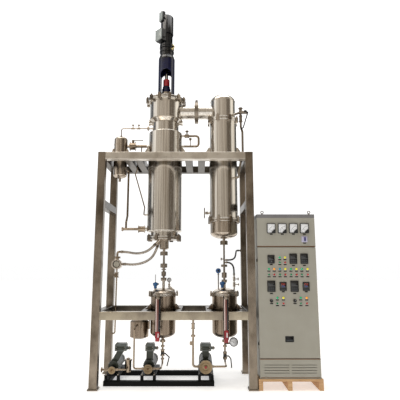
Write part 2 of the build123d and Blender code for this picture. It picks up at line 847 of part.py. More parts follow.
condenser_dome.part.label = "condenser_dome"
export_step(condenser_dome.part, "parts/condenser_dome.step")

# Condenser pot: collects the distillate under the tubes
pot_radius = 152.0
pot_outlet_face = 1470.0
with BuildPart() as condenser_pot:
    bar((condenser_x, frame_y, pot_edge), (condenser_x, frame_y, condenser_bottom_face), pot_radius)
    dished(condenser_x, frame_y, pot_radius, pot_edge, pot_crown)
    bar(
        (condenser_x, frame_y, condenser_bottom_face - ring_thickness),
        (condenser_x, frame_y, condenser_bottom_face),
        condenser_flange_radius,
    )
    bar((condenser_x, frame_y, pot_outlet_face), (condenser_x, frame_y, pot_crown + 4.0), residue_radius)
    bar((condenser_x, frame_y, pot_outlet_face), (condenser_x, frame_y, pot_outlet_face + 6.0), 38.0)
    pot_bore = pot_radius - condenser_wall
    bar((condenser_x, frame_y, pot_edge), (condenser_x, frame_y, condenser_bottom_face), pot_bore, mode=Mode.SUBTRACT)
    dished(condenser_x, frame_y, pot_bore, pot_edge, pot_crown + condenser_wall, Mode.SUBTRACT)
    bar((condenser_x, frame_y, pot_outlet_face), (condenser_x, frame_y, pot_crown + 8.0), 10.0, mode=Mode.SUBTRACT)
condenser_pot.part.label = "condenser_pot"
export_step(condenser_pot.part, "parts/condenser_pot.step")

# Condenser tubes between two tube sheets, with baffles that lead the coolant to and fro
tube_radius = 16.0
tube_bore = 14.0
sheet_thickness = 14.0
sheet_radius = condenser_bore - 0.2
with BuildPart() as condenser_tubes:
    tube_places = [(condenser_x, frame_y)]
    for ring, count in ((56.0, 6), (112.0, 12)):
        for number in range(count):
            angle = radians(360.0 * number / count)
            tube_places.append((condenser_x + ring * cos(angle), frame_y + ring * sin(angle)))
    for level, thickness in (
        (condenser_bottom_face, sheet_thickness),
        (condenser_top_face - sheet_thickness, sheet_thickness),
    ):
        bar((condenser_x, frame_y, level), (condenser_x, frame_y, level + thickness), sheet_radius)
    for number, level in enumerate((1930.0, 2160.0, 2390.0, 2620.0)):
        cut = 70.0 * (1 if number % 2 else -1)
        with BuildSketch(Plane.XY.offset(level)):
            with Locations((condenser_x, frame_y)):
                Circle(sheet_radius - 1.0)
            with Locations((condenser_x + cut + (sheet_radius if cut > 0 else -sheet_radius), frame_y)):
                Rectangle(2 * sheet_radius, 2 * sheet_radius, mode=Mode.SUBTRACT)
        extrude(amount=6.0)
    with BuildSketch(Plane.XY.offset(condenser_bottom_face)):
        with Locations(*tube_places):
            Circle(tube_radius)
    extrude(amount=condenser_top_face - condenser_bottom_face)
    with BuildSketch(Plane.XY.offset(condenser_bottom_face)):
        with Locations(*tube_places):
            Circle(tube_bore)
    extrude(amount=condenser_top_face - condenser_bottom_face, mode=Mode.SUBTRACT)
condenser_tubes.part.label = "condenser_tubes"
export_step(condenser_tubes.part, "parts/condenser_tubes.step")

# Feed preheater: small upright vessel hung on two lugs, its feed inlet underneath
preheater_crown = 2680.0
preheater_foot = 2185.0
preheater_drain = 2148.0
preheater_wall = 3.0
preheater_lug_reach = 124.0
preheater_nozzle_face = preheater_radius + 16.0
side_pipe_radius = 12.0
side_pipe_offset = (86.0, 70.0)
side_pipe_height = 2290.0
side_pipe_distance = (side_pipe_offset[0] ** 2 + side_pipe_offset[1] ** 2) ** 0.5
side_pipe_run = (side_pipe_offset[0] / side_pipe_distance, side_pipe_offset[1] / side_pipe_distance)
side_nozzle_end = (
    preheater_x + (preheater_radius + 13.0) * side_pipe_run[0],
    frame_y + (preheater_radius + 13.0) * side_pipe_run[1],
    side_pipe_height,
)
with BuildPart() as feed_preheater:
    inner_radius = preheater_radius - preheater_wall
    bar((preheater_x, frame_y, preheater_bottom), (preheater_x, frame_y, preheater_top), preheater_radius)
    dished(preheater_x, frame_y, preheater_radius, preheater_top, preheater_crown)
    dished(preheater_x, frame_y, preheater_radius, preheater_bottom, preheater_foot)
    bar((preheater_x, frame_y, preheater_drain), (preheater_x, frame_y, preheater_foot + 6.0), 13.0)
    bar((preheater_x, frame_y, preheater_crown - 6.0), (preheater_x, frame_y, preheater_crown + 14.0), 12.0)
    for side in (-1, 1):
        support_lug(preheater_x, frame_y, side, preheater_radius, preheater_lug_reach, lug_seat, 129.0, 70.0, 8.0)
    bar(
        (preheater_x, frame_y, upper_nozzle_height),
        (preheater_x + preheater_nozzle_face, frame_y, upper_nozzle_height),
        17.0,
    )
    bar((preheater_x, frame_y, side_pipe_height), side_nozzle_end, side_pipe_radius)
    for centre in (preheater_bottom + 60.0, preheater_top - 60.0):
        bar((preheater_x, frame_y, centre - 4.0), (preheater_x, frame_y, centre + 4.0), preheater_radius + 3.0)
    bar((preheater_x, frame_y, preheater_bottom), (preheater_x, frame_y, preheater_top), inner_radius, mode=Mode.SUBTRACT)
    dished(preheater_x, frame_y, inner_radius, preheater_top, preheater_crown - preheater_wall, Mode.SUBTRACT)
    dished(preheater_x, frame_y, inner_radius, preheater_bottom, preheater_foot + preheater_wall, Mode.SUBTRACT)
    bar((preheater_x, frame_y, preheater_drain), (preheater_x, frame_y, preheater_bottom), 8.0, mode=Mode.SUBTRACT)
    bar(
        (preheater_x, frame_y, preheater_top),
        (preheater_x, frame_y, preheater_crown + 14.0),
        4.0,
        mode=Mode.SUBTRACT,
    )
feed_preheater.part.label = "feed_preheater"
export_step(feed_preheater.part, "parts/feed_preheater.step")

# Heating pipes between the preheater and the jacket, the loop on the right, and the thin feed line
ball_valve_right = -481.0
ball_valve_left = -550.0
ball_valve_radius = 52.0
lower_valve_left = -428.0
lower_pipe_radius = 15.0
lower_pipe_end = -615.0
riser_x = -569.0
loop_corner_x = 246.0
loop_valve_x = 110.0
jacket_left_face = evaporator_x - jacket_nozzle_face
jacket_right_face = evaporator_x + jacket_nozzle_face
preheater_right_face = preheater_x + preheater_nozzle_face
with BuildPart() as heating_pipes:
    valve_right = (frame_x + ball_valve_right, frame_y, upper_nozzle_height)
    valve_left = (frame_x + ball_valve_left, frame_y, upper_nozzle_height)
    bar((jacket_left_face, frame_y, upper_nozzle_height), valve_right, 17.0)
    valve_body(valve_right, valve_left, ball_valve_radius)
    bar(valve_left, (preheater_right_face, frame_y, upper_nozzle_height), 17.0)
    stem_x = (valve_right[0] + valve_left[0]) / 2
    stem_foot = (stem_x, frame_y, upper_nozzle_height + 30.0)
    bar(stem_foot, (stem_x, frame_y, upper_nozzle_height + 62.0), 14.0)
    stem_socket_floor = upper_nozzle_height + 46.0
    bar(
        (stem_x, frame_y, stem_socket_floor),
        (stem_x, frame_y, upper_nozzle_height + 62.0),
        8.0 + running_clearance,
        mode=Mode.SUBTRACT,
    )
    slant_points = [
        at(-414, 0, 2560),
        at(-414, 0, 2500),
        at(-457.5, 0, 2440),
        at(-457.5, 0, 2290),
        at(-480, 0, 2235),
        at(-364, 0, 1850),
        at(-372, 0, slanted_nozzle_height),
        (jacket_left_face, frame_y, slanted_nozzle_height),
    ]
    bent_pipe(slant_points, 7.0, 10.0)
    lower_face = (jacket_left_face, frame_y, lower_nozzle_height)
    lower_left = at(lower_valve_left, 0, lower_nozzle_height)
    valve_body(lower_face, lower_left, 42.0)
    bar(lower_left, at(lower_pipe_end, 0, lower_nozzle_height), lower_pipe_radius)
    pipe_joint(at(lower_pipe_end + 8.0, 0, lower_nozzle_height), (1, 0, 0), 24.0)
    riser_points = [
        at(riser_x, 0, lower_nozzle_height + 6.0),
        at(riser_x, 0, 1680),
        at(riser_x, side_pipe_offset[1], 1760),
        at(riser_x, side_pipe_offset[1], side_pipe_height),
        side_nozzle_end,
    ]
    bent_pipe(riser_points, side_pipe_radius, 14.0)
    loop_points = [
        (jacket_right_face, frame_y, loop_top_height),
        at(loop_corner_x, 0, loop_top_height),
        at(loop_corner_x, 0, upper_nozzle_height),
        (jacket_right_face, frame_y, upper_nozzle_height),
    ]
    bent_pipe(loop_points, 13.0, 32.0)
    valve_body(at(loop_valve_x - 24, 0, loop_top_height), at(loop_valve_x + 24, 0, loop_top_height), 26.0)
    bar(at(loop_valve_x, 0, loop_top_height), at(loop_valve_x, 0, loop_top_height + 52), 8.0)
    bar(at(loop_valve_x, 0, loop_top_height + 52), at(loop_valve_x, 0, loop_top_height + 63), 20.0)
    bar(at(loop_valve_x + 40, 0, upper_nozzle_height), at(loop_valve_x + 40, 0, upper_nozzle_height + 90), 5.0)
    bar(at(loop_valve_x + 40, 0, upper_nozzle_height + 74), at(loop_valve_x + 40, 0, upper_nozzle_height + 98), 15.0)
    feed_points = [
        (preheater_x, frame_y, preheater_crown + 14.0),
        (preheater_x, frame_y, feed_height),
        (feed_face_x, frame_y, feed_height),
    ]
    bent_pipe(feed_points, 6.0, 26.0)
    for valve_x in (-521, -453):
        valve_body(at(valve_x - 17, 0, feed_height), at(valve_x + 17, 0, feed_height), 13.0)
        bar(at(valve_x, 0, feed_height), at(valve_x, 0, feed_height + 40), 5.0)
        bar(at(valve_x, 0, feed_height + 34), at(valve_x, 0, feed_height + 46), 13.0)
    pipe_joint((feed_face_x - 8.0, frame_y, feed_height), (1, 0, 0), 25.0, 16.0)
heating_pipes.part.label = "heating_pipes"
export_step(heating_pipes.part, "parts/heating_pipes.step")

# Sight glass that the residue hoses lead to, on the front face of the rear left post
sight_x = -703.0
sight_height = 1218.0
sight_front = 190.0
sight_radius = 58.0
sight_back = bay_depth / 2
sight_y = (sight_front + sight_back) / 2
hose_end_top = 1360.0
hose_end_left = -664.0
drain_pipe_radius = 8.5
with BuildPart() as flow_sight_glass:
    bar(at(sight_x, sight_front, sight_height), at(sight_x, sight_back, sight_height), sight_radius)
    bar(at(sight_x, sight_front, sight_height), at(sight_x, sight_front + 14, sight_height), 40.0, mode=Mode.SUBTRACT)
    neck_top = sight_height + sight_radius + 8.0
    bar(at(sight_x, sight_y, sight_height + 50.0), at(sight_x, sight_y, neck_top), 20.0)
    bar(at(sight_x, sight_y, neck_top), at(sight_x, sight_y, neck_top + 22.0), 37.0)
    elbow_points = [
        at(sight_x, sight_y, neck_top + 22.0),
        at(sight_x, sight_y, hose_end_top),
        at(hose_end_left, sight_y, hose_end_top),
    ]
    bent_pipe(elbow_points, hose_radius - 1.0, 22.0)
    bar(at(sight_x, sight_y, sight_height), at(sight_x + sight_radius + 14, sight_y, sight_height), hose_radius - 1.0)
    drain_points = [
        at(sight_x, sight_y, sight_height - sight_radius + 8.0),
        at(sight_x, sight_y, 443),
        at(-bay_length / 2, sight_y, 443),
    ]
    bent_pipe(drain_points, drain_pipe_radius, 20.0)
    valve_body(at(sight_x, sight_y, 1125), at(sight_x, sight_y, 1065), 26.0)
    bar(at(sight_x, sight_y, 1095), at(sight_x, sight_y - 52, 1095), 7.0)
    bar(at(sight_x, sight_y - 52, 1095), at(sight_x, sight_y - 62, 1095), 22.0)
    bar(at(sight_x, sight_front + 6.2, sight_height), at(sight_x, sight_front + 13.8, sight_height), 39.8)
flow_sight_glass.part.label = "flow_sight_glass"
export_step(flow_sight_glass.part, "parts/flow_sight_glass.step")


# Hose along its route: straight runs, each arc as large as its two runs allow
def hose_tube(points, radius):
    vectors = [Vector(*point) for point in points]
    radii = []
    for number in range(1, len(vectors) - 1):
        before = vectors[number] - vectors[number - 1]
        after = vectors[number + 1] - vectors[number]
        half_turn = radians(before.get_angle(after)) / 2
        radii.append(0.45 * min(before.length, after.length) * cos(half_turn) / sin(half_turn))
    print("hose arc radii", [round(value) for value in radii])
    with BuildLine() as route:
        FilletPolyline(*points, radius=radii)
    with BuildSketch(Plane(origin=points[0], z_dir=vectors[1] - vectors[0])) as section:
        Circle(radius)
    sweep(section.sketch, path=route.wires()[0])
    length = route.wires()[0].length
    print("hose length", round(length), "section times length", round(section.sketch.area * length))


# Upper metal hose, from the bottom head to the elbow over the sight glass
upper_hose_points = [
    upper_stub[1],
    at(-262, -30, 1405),
    at(-306, -16, 1370),
    at(-352, 12, 1350),
    at(-402, 56, 1340),
    at(-456, 112, 1338),
    at(-510, 168, 1343),
    at(-563, 213, 1353),
    at(-622, sight_y, hose_end_top),
    at(hose_end_left, sight_y, hose_end_top),
]
with BuildPart() as upper_hose:
    hose_tube(upper_hose_points, hose_radius)
upper_hose.part.label = "upper_hose"
export_step(upper_hose.part, "parts/upper_hose.step")

# Lower metal hose, from the bottom head to the side of the sight glass
lower_hose_points = [
    lower_stub[1],
    at(-226, 35, 1386),
    at(-246, 48, 1340),
    at(-281, 76, 1291),
    at(-338, 112, 1252),
    at(-410, 152, 1226),
    at(-482, 192, 1215),
    at(-544, 222, 1213),
    at(-588, sight_y, sight_height),
    at(sight_x + sight_radius + 14, sight_y, sight_height),
]
with BuildPart() as lower_hose:
    hose_tube(lower_hose_points, hose_radius)
lower_hose.part.label = "lower_hose"
export_step(lower_hose.part, "parts/lower_hose.step")

# Outlet lines: residue line, distillate line, vent line, and the valves on them
lid_port_top = 1050.0
right_port_top = 1033.0
tee_height = 1262.0
lower_tee_height = 1236.0
tee_face = 547.0
black_hose_radius = 9.0
bulkhead_height = 1378.0
bulkhead_y = 316.0
bulkhead_mouth = at(722, 300, bulkhead_height)
cross_reach = 275.2
cross_centre = (
    condenser_x + cross_reach * outlet_run[0],
    frame_y + cross_reach * outlet_run[1],
    vent_height,
)
drop_reach = 235.0
drop_place = (condenser_x + drop_reach * outlet_run[0], frame_y + drop_reach * outlet_run[1])
vent_port_top = 2954.0
vent_port_bore = 11.0
vent_valve_right = 790.0
vent_stem_x = 766.0
vent_stem_front = -226.0
stem_radius = 6.0
with BuildPart() as outlet_lines:
    turned(
        [
            (0, lid_port_top),
            (32.0, lid_port_top),
            (32.0, lid_port_top + 20.0),
            (12.0, lid_port_top + 20.0),
            (12.0, lid_port_top + 35.0),
            (26.0, lid_port_top + 40.0),
            (26.0, lid_port_top + 85.0),
            (12.0, lid_port_top + 90.0),
            (12.0, lid_port_top + 104.0),
            (25.0, lid_port_top + 104.0),
            (25.0, lid_port_top + 116.0),
            (12.0, lid_port_top + 116.0),
            (12.0, lid_port_top + 125.0),
            (38.0, lid_port_top + 130.0),
            (38.0, lid_port_top + 172.0),
            (12.0, lid_port_top + 178.0),
            (10.0, residue_face - 38.0),
            (42.5, residue_face - 38.0),
            (42.5, residue_face),
            (0, residue_face),
        ],
        evaporator_x,
        frame_y,
    )
    turned(
        [
            (0, right_port_top),
            (30.0, right_port_top),
            (30.0, right_port_top + 16.0),
            (12.0, right_port_top + 16.0),
            (12.0, right_port_top + 34.0),
            (28.0, right_port_top + 38.0),
            (28.0, right_port_top + 92.0),
            (11.0, right_port_top + 98.0),
            (11.0, 1185.0),
            (34.0, 1188.0),
            (34.0, 1212.0),
            (10.0, 1215.0),
            (10.0, pot_outlet_face - 40.0),
            (42.5, pot_outlet_face - 40.0),
            (42.5, pot_outlet_face),
            (0, pot_outlet_face),
        ],
        condenser_x,
        frame_y,
    )
    for height in (tee_height, lower_tee_height):
        bar((condenser_x, frame_y, height), at(tee_face, 0, height), 7.5)
    bar((condenser_x, frame_y, 1273), (condenser_x - 24, frame_y, 1273), 5.0)
    bar((condenser_x - 24, frame_y, 1273), (condenser_x - 38, frame_y, 1273), 14.0)
    bar(at(bay_length / 2 - 7, bulkhead_y, bulkhead_height), at(bay_length / 2, bulkhead_y, bulkhead_height), 14.0)
    bar(bulkhead_mouth, at(bay_length / 2 - 7, bulkhead_y, bulkhead_height), 7.5)
    bar(vent_end, cross_centre, 12.5)
    valve_body((cross_centre[0] - 18, cross_centre[1], vent_height), at(vent_valve_right, -200, vent_height), 24.0)
    bar(cross_centre, (cross_centre[0], cross_centre[1], vent_port_top), 16.0)
    pipe_joint((cross_centre[0], cross_centre[1], vent_port_top - 6), (0, 0, 1), 25.0, 12.0)
    bar(
        (cross_centre[0], cross_centre[1], vent_port_top - 40.0),
        (cross_centre[0], cross_centre[1], vent_port_top),
        vent_port_bore,
        mode=Mode.SUBTRACT,
    )
    bar(at(vent_stem_x, -200, vent_height), at(vent_stem_x, vent_stem_front, vent_height), 12.0)
    bar(
        at(vent_stem_x, vent_stem_front + 16, vent_height),
        at(vent_stem_x, vent_stem_front, vent_height),
        stem_radius + running_clearance,
        mode=Mode.SUBTRACT,
    )
    vent_drop_points = [
        cross_centre,
        (cross_centre[0], cross_centre[1], 2730),
        at(735, -200, 2672),
        at(735, -200, 2453),
        (drop_place[0], drop_place[1], 2215),
        (drop_place[0], drop_place[1], coolant_outlet_height),
        outlet_end,
    ]
    bent_pipe(vent_drop_points, 12.5, 18.0)
    valve_body(at(718, -200, 2862), at(718, -200, 2790), 22.0)
    coolant_valve_x = frame_x + 326.0
    valve_body(inlet_end, (coolant_valve_x, frame_y, coolant_inlet_height), 19.0)
    bar(
        (coolant_valve_x - 14, frame_y, coolant_inlet_height - 60),
        (coolant_valve_x - 14, frame_y, coolant_inlet_height + 60),
        6.0,
    )
    bar((coolant_valve_x, frame_y, coolant_inlet_height), (coolant_valve_x - 20, frame_y, coolant_inlet_height), 9.0)
outlet_lines.part.label = "outlet_lines"
export_step(outlet_lines.part, "parts/outlet_lines.step")

# Black vent hose, from the distillate line to the bulkhead fitting on the rear right post
vent_hose_points = [
    at(tee_face, 0, tee_height),
    at(582, 0, tee_height),
    at(616, 14, 1266),
    at(641, 48, 1278),
    at(658, 94, 1296),
    at(668, 142, 1316),
    at(676, 190, 1340),
    at(683, 234, 1364),
    at(694, 272, bulkhead_height),
    bulkhead_mouth,
]
with BuildPart() as vent_hose:
    hose_tube(vent_hose_points, black_hose_radius)
vent_hose.part.label = "vent_hose"
export_step(vent_hose.part, "parts/vent_hose.step")

# Black receiver hose, from the distillate line down to the valve group on the right lid
group_x = 637.0
group_top = 1096.0
receiver_hose_points = [
    at(tee_face, 0, lower_tee_height),
    at(577, 0, lower_tee_height),
    at(604, 0, 1225),
    at(624, 0, 1204),
    at(634, 0, 1176),
    at(group_x, 0, 1140),
    at(group_x, 0, group_top),
]
with BuildPart() as receiver_hose:
    hose_tube(receiver_hose_points, black_hose_radius)
receiver_hose.part.label = "receiver_hose"
export_step(receiver_hose.part, "parts/receiver_hose.step")

# Receivers: two open-topped tanks on the middle cross members, and the small buffer tank
receiver_outlet = 405.0
receiver_lug_reach = 190.0
receiver_lug_rise = 46.0
gauge_nozzle_heights = (860.0, 560.0)
gauge_back = frame_y - frame_depth / 2 - 6.0
gauge_offsets = (-18.0, -9.0)
buffer_top = 600.0
buffer_base = 440.0
buffer_nozzle_height = 570.0
buffer_nozzle_face = buffer_y - buffer_radius - 20.0
with BuildPart() as receiver_tanks:
    for x, offset in zip(receiver_places, gauge_offsets):
        bar((x, frame_y, receiver_edge), (x, frame_y, receiver_face), receiver_radius)
        dished(x, frame_y, receiver_radius, receiver_edge, receiver_crown)
        low = receiver_face - receiver_flange_thickness
        bar((x, frame_y, low), (x, frame_y, receiver_face), receiver_flange_radius)
        bar((x, frame_y, receiver_outlet), (x, frame_y, receiver_crown + 4.0), 16.0)
        pipe_joint((x, frame_y, receiver_outlet + 6.0), (0, 0, 1), 30.0, 12.0)
        for side in (-1, 1):
            support_lug(
                x, frame_y, side, receiver_radius, receiver_lug_reach, mid_beam_top, receiver_lug_rise, 80.0, 8.0
            )
        for height in gauge_nozzle_heights:
            bar((x + offset, frame_y, height), (x + offset, gauge_back, height), 10.0)
        bore = receiver_radius - receiver_wall
        bar((x, frame_y, receiver_edge), (x, frame_y, receiver_face), bore, mode=Mode.SUBTRACT)
        dished(x, frame_y, bore, receiver_edge, receiver_crown + receiver_wall, Mode.SUBTRACT)
        bar((x, frame_y, receiver_outlet), (x, frame_y, receiver_crown + 8.0), 10.0, mode=Mode.SUBTRACT)
        for height in gauge_nozzle_heights:
            bar((x + offset, frame_y, height), (x + offset, gauge_back, height), 6.0, mode=Mode.SUBTRACT)
    capsule(buffer_x, buffer_y, buffer_radius, buffer_base, 28.0, buffer_top, 34.0)
    bar((buffer_x - 13.0, buffer_y, buffer_nozzle_height), (buffer_x - 13.0, buffer_nozzle_face, buffer_nozzle_height), 12.0)
    hanger_x = buffer_x + buffer_radius + 4.0
    block((hanger_x - 8.0, buffer_y - 25.0, buffer_top - 80.0), (hanger_x, buffer_y + 25.0, buffer_top - 4.0))
    block((hanger_x, buffer_y - 25.0, buffer_top - 80.0), (hanger_x + 10.0, buffer_y + 25.0, mid_beam_top - beam))
    capsule(buffer_x, buffer_y, buffer_radius - 3.0, buffer_base, 25.0, buffer_top, 31.0, Mode.SUBTRACT)
    bar(
        (buffer_x - 13.0, buffer_y, buffer_nozzle_height),
        (buffer_x - 13.0, buffer_nozzle_face, buffer_nozzle_height),
        9.0,
        mode=Mode.SUBTRACT,
    )
receiver_tanks.part.label = "receiver_tanks"
export_step(receiver_tanks.part, "parts/receiver_tanks.step")

# Receiver lids: domed, with the inlet port, sight port, small gauge and valve group
lid_rim = receiver_face + receiver_flange_thickness
lid_radius = receiver_radius - 1.0
head_places = ((-83.0, -60.0, 958.0), (-26.0, -60.0, 966.0))
with BuildPart() as receiver_lids:
    for x, port_top in zip(receiver_places, (lid_port_top, right_port_top)):
        bar((x, frame_y, receiver_face), (x, frame_y, lid_rim), receiver_flange_radius)
        dished(x, frame_y, lid_radius, lid_rim, lid_crown)
        bar((x, frame_y, lid_crown - 6.0), (x, frame_y, port_top), residue_radius)
        bar((x, frame_y, port_top - 14.0), (x, frame_y, port_top), 30.0)
    for x, (offset_x, offset_y, height) in zip(receiver_places, head_places):
        bar((x + offset_x, frame_y + offset_y, 920.0), (x + offset_x, frame_y + offset_y, height), 12.0)
    sight_foot = (evaporator_x + 66.0, frame_y, 915.0)
    bar(sight_foot, (evaporator_x + 100.0, frame_y, 958.0), 29.0)
    bar((evaporator_x + 90.0, frame_y, 946.0), (evaporator_x + 100.0, frame_y, 958.0), 36.0)
    bar((evaporator_x + 56.0, frame_y + 76.0, 920.0), (evaporator_x + 56.0, frame_y + 76.0, 1036.0), 7.0)
    valve_body(
        (evaporator_x + 56.0, frame_y + 76.0, 962.0),
        (evaporator_x + 56.0, frame_y + 76.0, 1000.0),
        14.0,
    )
    bar(
        (evaporator_x + 56.0, frame_y + 90.0, 1044.0),
        (evaporator_x + 56.0, frame_y + 62.0, 1044.0),
        24.0,
    )
    bar(at(group_x, 0, 915.0), at(group_x, 0, group_top), 8.0)
    valve_body(at(group_x, 0, 975.0), at(group_x, 0, 1018.0), 17.0)
    valve_body(at(group_x, 0, 1036.0), at(group_x, 0, 1076.0), 15.0)
    bar(at(group_x, 0, 1056.0), at(group_x + 40, 0, 1056.0), 5.0)
    bar(at(group_x + 40, 0, 1056.0), at(group_x + 50, 0, 1056.0), 15.0)
    bar(at(group_x, 0, 997.0), at(group_x + 44, 0, 997.0), 5.0)
    bar(at(group_x + 44, 0, 997.0), at(group_x + 54, 0, 997.0), 13.0)
    for x in receiver_places:
        inner_radius = lid_radius - receiver_wall
        bar((x, frame_y, receiver_face), (x, frame_y, lid_rim), inner_radius, mode=Mode.SUBTRACT)
        dished(x, frame_y, inner_radius, lid_rim, lid_crown - receiver_wall, Mode.SUBTRACT)
    for x, port_top in zip(receiver_places, (lid_port_top, right_port_top)):
        bar((x, frame_y, lid_crown - 8.0), (x, frame_y, port_top), 10.0, mode=Mode.SUBTRACT)
receiver_lids.part.label = "receiver_lids"
export_step(receiver_lids.part, "parts/receiver_lids.step")

# Gauges: the two upright level gauges, the level heads on the lids and the dial gauges
level_gauge_half = 26.0
level_gauge_front = frame_y - gauge_reach
dial_gauge_y = -78.0
with BuildPart() as gauges:
    for x, offset, low in zip(receiver_places, gauge_offsets, (467.0, 454.0)):
        block(
            (x + offset - level_gauge_half + 6.0, level_gauge_front, low),
            (x + offset + level_gauge_half - 6.0, gauge_back, 930.0),
        )
        block(
            (x + offset - level_gauge_half, level_gauge_front + 8.0, low + 30.0),
            (x + offset + level_gauge_half, gauge_back - 4.0, 900.0),
        )
        for height in gauge_nozzle_heights:
            bar((x + offset, gauge_back - 6.0, height), (x + offset, gauge_back, height), 17.0)
    for x, (offset_x, offset_y, height) in zip(receiver_places, head_places):
        place = (x + offset_x, frame_y + offset_y)
        bar((place[0], place[1], height), (place[0], place[1], height + 22.0), 18.0)
        bar((place[0], place[1], height + 22.0), (place[0], place[1], height + 64.0), 27.0)
    stem_place = (condenser_x - 67.0, frame_y - 40.0)
    lid_height = lid_rim + (lid_crown - lid_rim) * (1 - (67.0 ** 2 + 40.0 ** 2) / lid_radius ** 2) ** 0.5
    bar((stem_place[0], stem_place[1], lid_height + 2.2), (stem_place[0], stem_place[1], 1118.0), 6.0)
    bar((stem_place[0], stem_place[1] + 16.0, 1145.0), (stem_place[0], stem_place[1] - 16.0, 1145.0), 28.0)
gauges.part.label = "gauges"
export_step(gauges.part, "parts/gauges.step")

# Pump frame: two floor rails with their end members, legs and a plate for each pump
rail_front = frame_y + pump_frame_front
rail_rear = frame_y + pump_frame_rear
pump_left = frame_x + pump_frame_left
pump_right = frame_x + pump_frame_right
pump_plate_thickness = 8.0
pump_plate_half = 78.0
leg = 30.0
with BuildPart() as pump_frame:
    for front in (rail_front, rail_rear - pump_rail):
        start = (pump_left, front + pump_rail / 2, pump_rail / 2)
        end = (pump_right, front + pump_rail / 2, pump_rail / 2)
        frame_tube(start, end, pump_rail, pump_rail, 3.0)
    for left in (pump_left, pump_right - pump_rail):
        start = (left + pump_rail / 2, rail_front + pump_rail + weld_gap, pump_rail / 2)
        end = (left + pump_rail / 2, rail_rear - pump_rail - weld_gap, pump_rail / 2)
        frame_tube(start, end, pump_rail, pump_rail, 3.0)
    plate_bottom = pump_plate_top - pump_plate_thickness
    for x in pump_places:
        block((x - pump_plate_half, rail_front, plate_bottom), (x + pump_plate_half, rail_rear, pump_plate_top))
        for side in (-1, 1):
            for front in (rail_front + 10.0, rail_rear - 10.0 - leg):
                near = x + side * (pump_plate_half - leg / 2)
                block(
                    (near - leg / 2, front, pump_rail + weld_gap),
                    (near + leg / 2, front + leg, plate_bottom - weld_gap),
                )
pump_frame.part.label = "pump_frame"
export_step(pump_frame.part, "parts/pump_frame.step")

# Pump heads: round covers at the front, bodies behind them, and a nozzle on each side
head_front = frame_y - 232.0
head_back = frame_y - 150.0
nozzle_y = frame_y - 200.0
nozzle_reach = 20.0
with BuildPart() as pump_heads:
    for x, radius in zip(pump_places, pump_cover_radii):
        height = pump_plate_top + radius + 14.0
        bar((x, head_front, height), (x, head_front + 16.0, height), radius)
        bar((x, head_front + 16.0, height), (x, head_back, height), radius * 0.86)
        for side in (-1, 1):
            bar((x, nozzle_y, height), (x + side * (radius + nozzle_reach), nozzle_y, height), 13.0)
        block((x - 22.0, head_front + 24.0, pump_plate_top), (x + 22.0, head_back, height))
        for number in range(6):
            angle = radians(60.0 * number + 30.0)
            bolt = (x + (radius - 9.0) * cos(angle), height + (radius - 9.0) * sin(angle))
            bar((bolt[0], head_front - 5.0, bolt[1]), (bolt[0], head_front, bolt[1]), 4.0)
pump_heads.part.label = "pump_heads"
export_step(pump_heads.part, "parts/pump_heads.step")

# Pump motors behind the heads, each with its terminal box
motor_radii = (58.0, 62.0, 70.0)
motor_back = frame_y + 150.0
box_places = (frame_x - 568.0, frame_x - 262.0, frame_x + 320.0)
box_halves = (62.0, 48.0, 58.0)
with BuildPart() as pump_motors:
    for x, head_radius, radius, box_x, box_half in zip(
        pump_places, pump_cover_radii, motor_radii, box_places, box_halves
    ):
        height = pump_plate_top + max(head_radius, radius) + 14.0
        with BuildSketch(Plane(origin=(x, head_back, height), x_dir=(1, 0, 0), z_dir=(0, 1, 0))) as motor_section:
            Circle(radius - 6.0)
            with PolarLocations(radius - 5.0, 16):
                Rectangle(10.0, 5.0)
        extrude(motor_section.sketch, amount=motor_back - head_back)
        bar((x, motor_back, height), (x, motor_back + 46.0, height), radius)
        block((x - 45.0, head_back + 30.0, pump_plate_top), (x + 45.0, motor_back - 40.0, height - radius / 2))
        neck_low = height + radius * 0.6
        with BuildSketch(Plane.XY.offset(neck_low)) as neck_base:
            with Locations((x, head_back + 80.0)):
                RectangleRounded(70.0, 90.0, 10.0)
        with BuildSketch(Plane.XY.offset(322.0)) as neck_top:
            with Locations((box_x, head_back + 80.0)):
                RectangleRounded(70.0, 80.0, 10.0)
        loft([neck_base.sketch, neck_top.sketch])
        with BuildSketch(Plane.XY.offset(322.0)) as box_base:
            with Locations((box_x, head_back + 80.0)):
                RectangleRounded(2 * box_half, 110.0, 16.0)
        extrude(box_base.sketch, amount=56.0)
        with BuildSketch(Plane.XY.offset(378.0)) as lid_base:
            with Locations((box_x, head_back + 80.0)):
                RectangleRounded(2 * box_half - 10.0, 100.0, 14.0)
        extrude(lid_base.sketch, amount=14.0)
        gland_y = head_back + 80.0
        bar((box_x + box_half - 4.0, gland_y, 345.0), (box_x + box_half + 34.0, gland_y, 345.0), 15.0)
pump_motors.part.label = "pump_motors"
export_step(pump_motors.part, "parts/pump_motors.step")

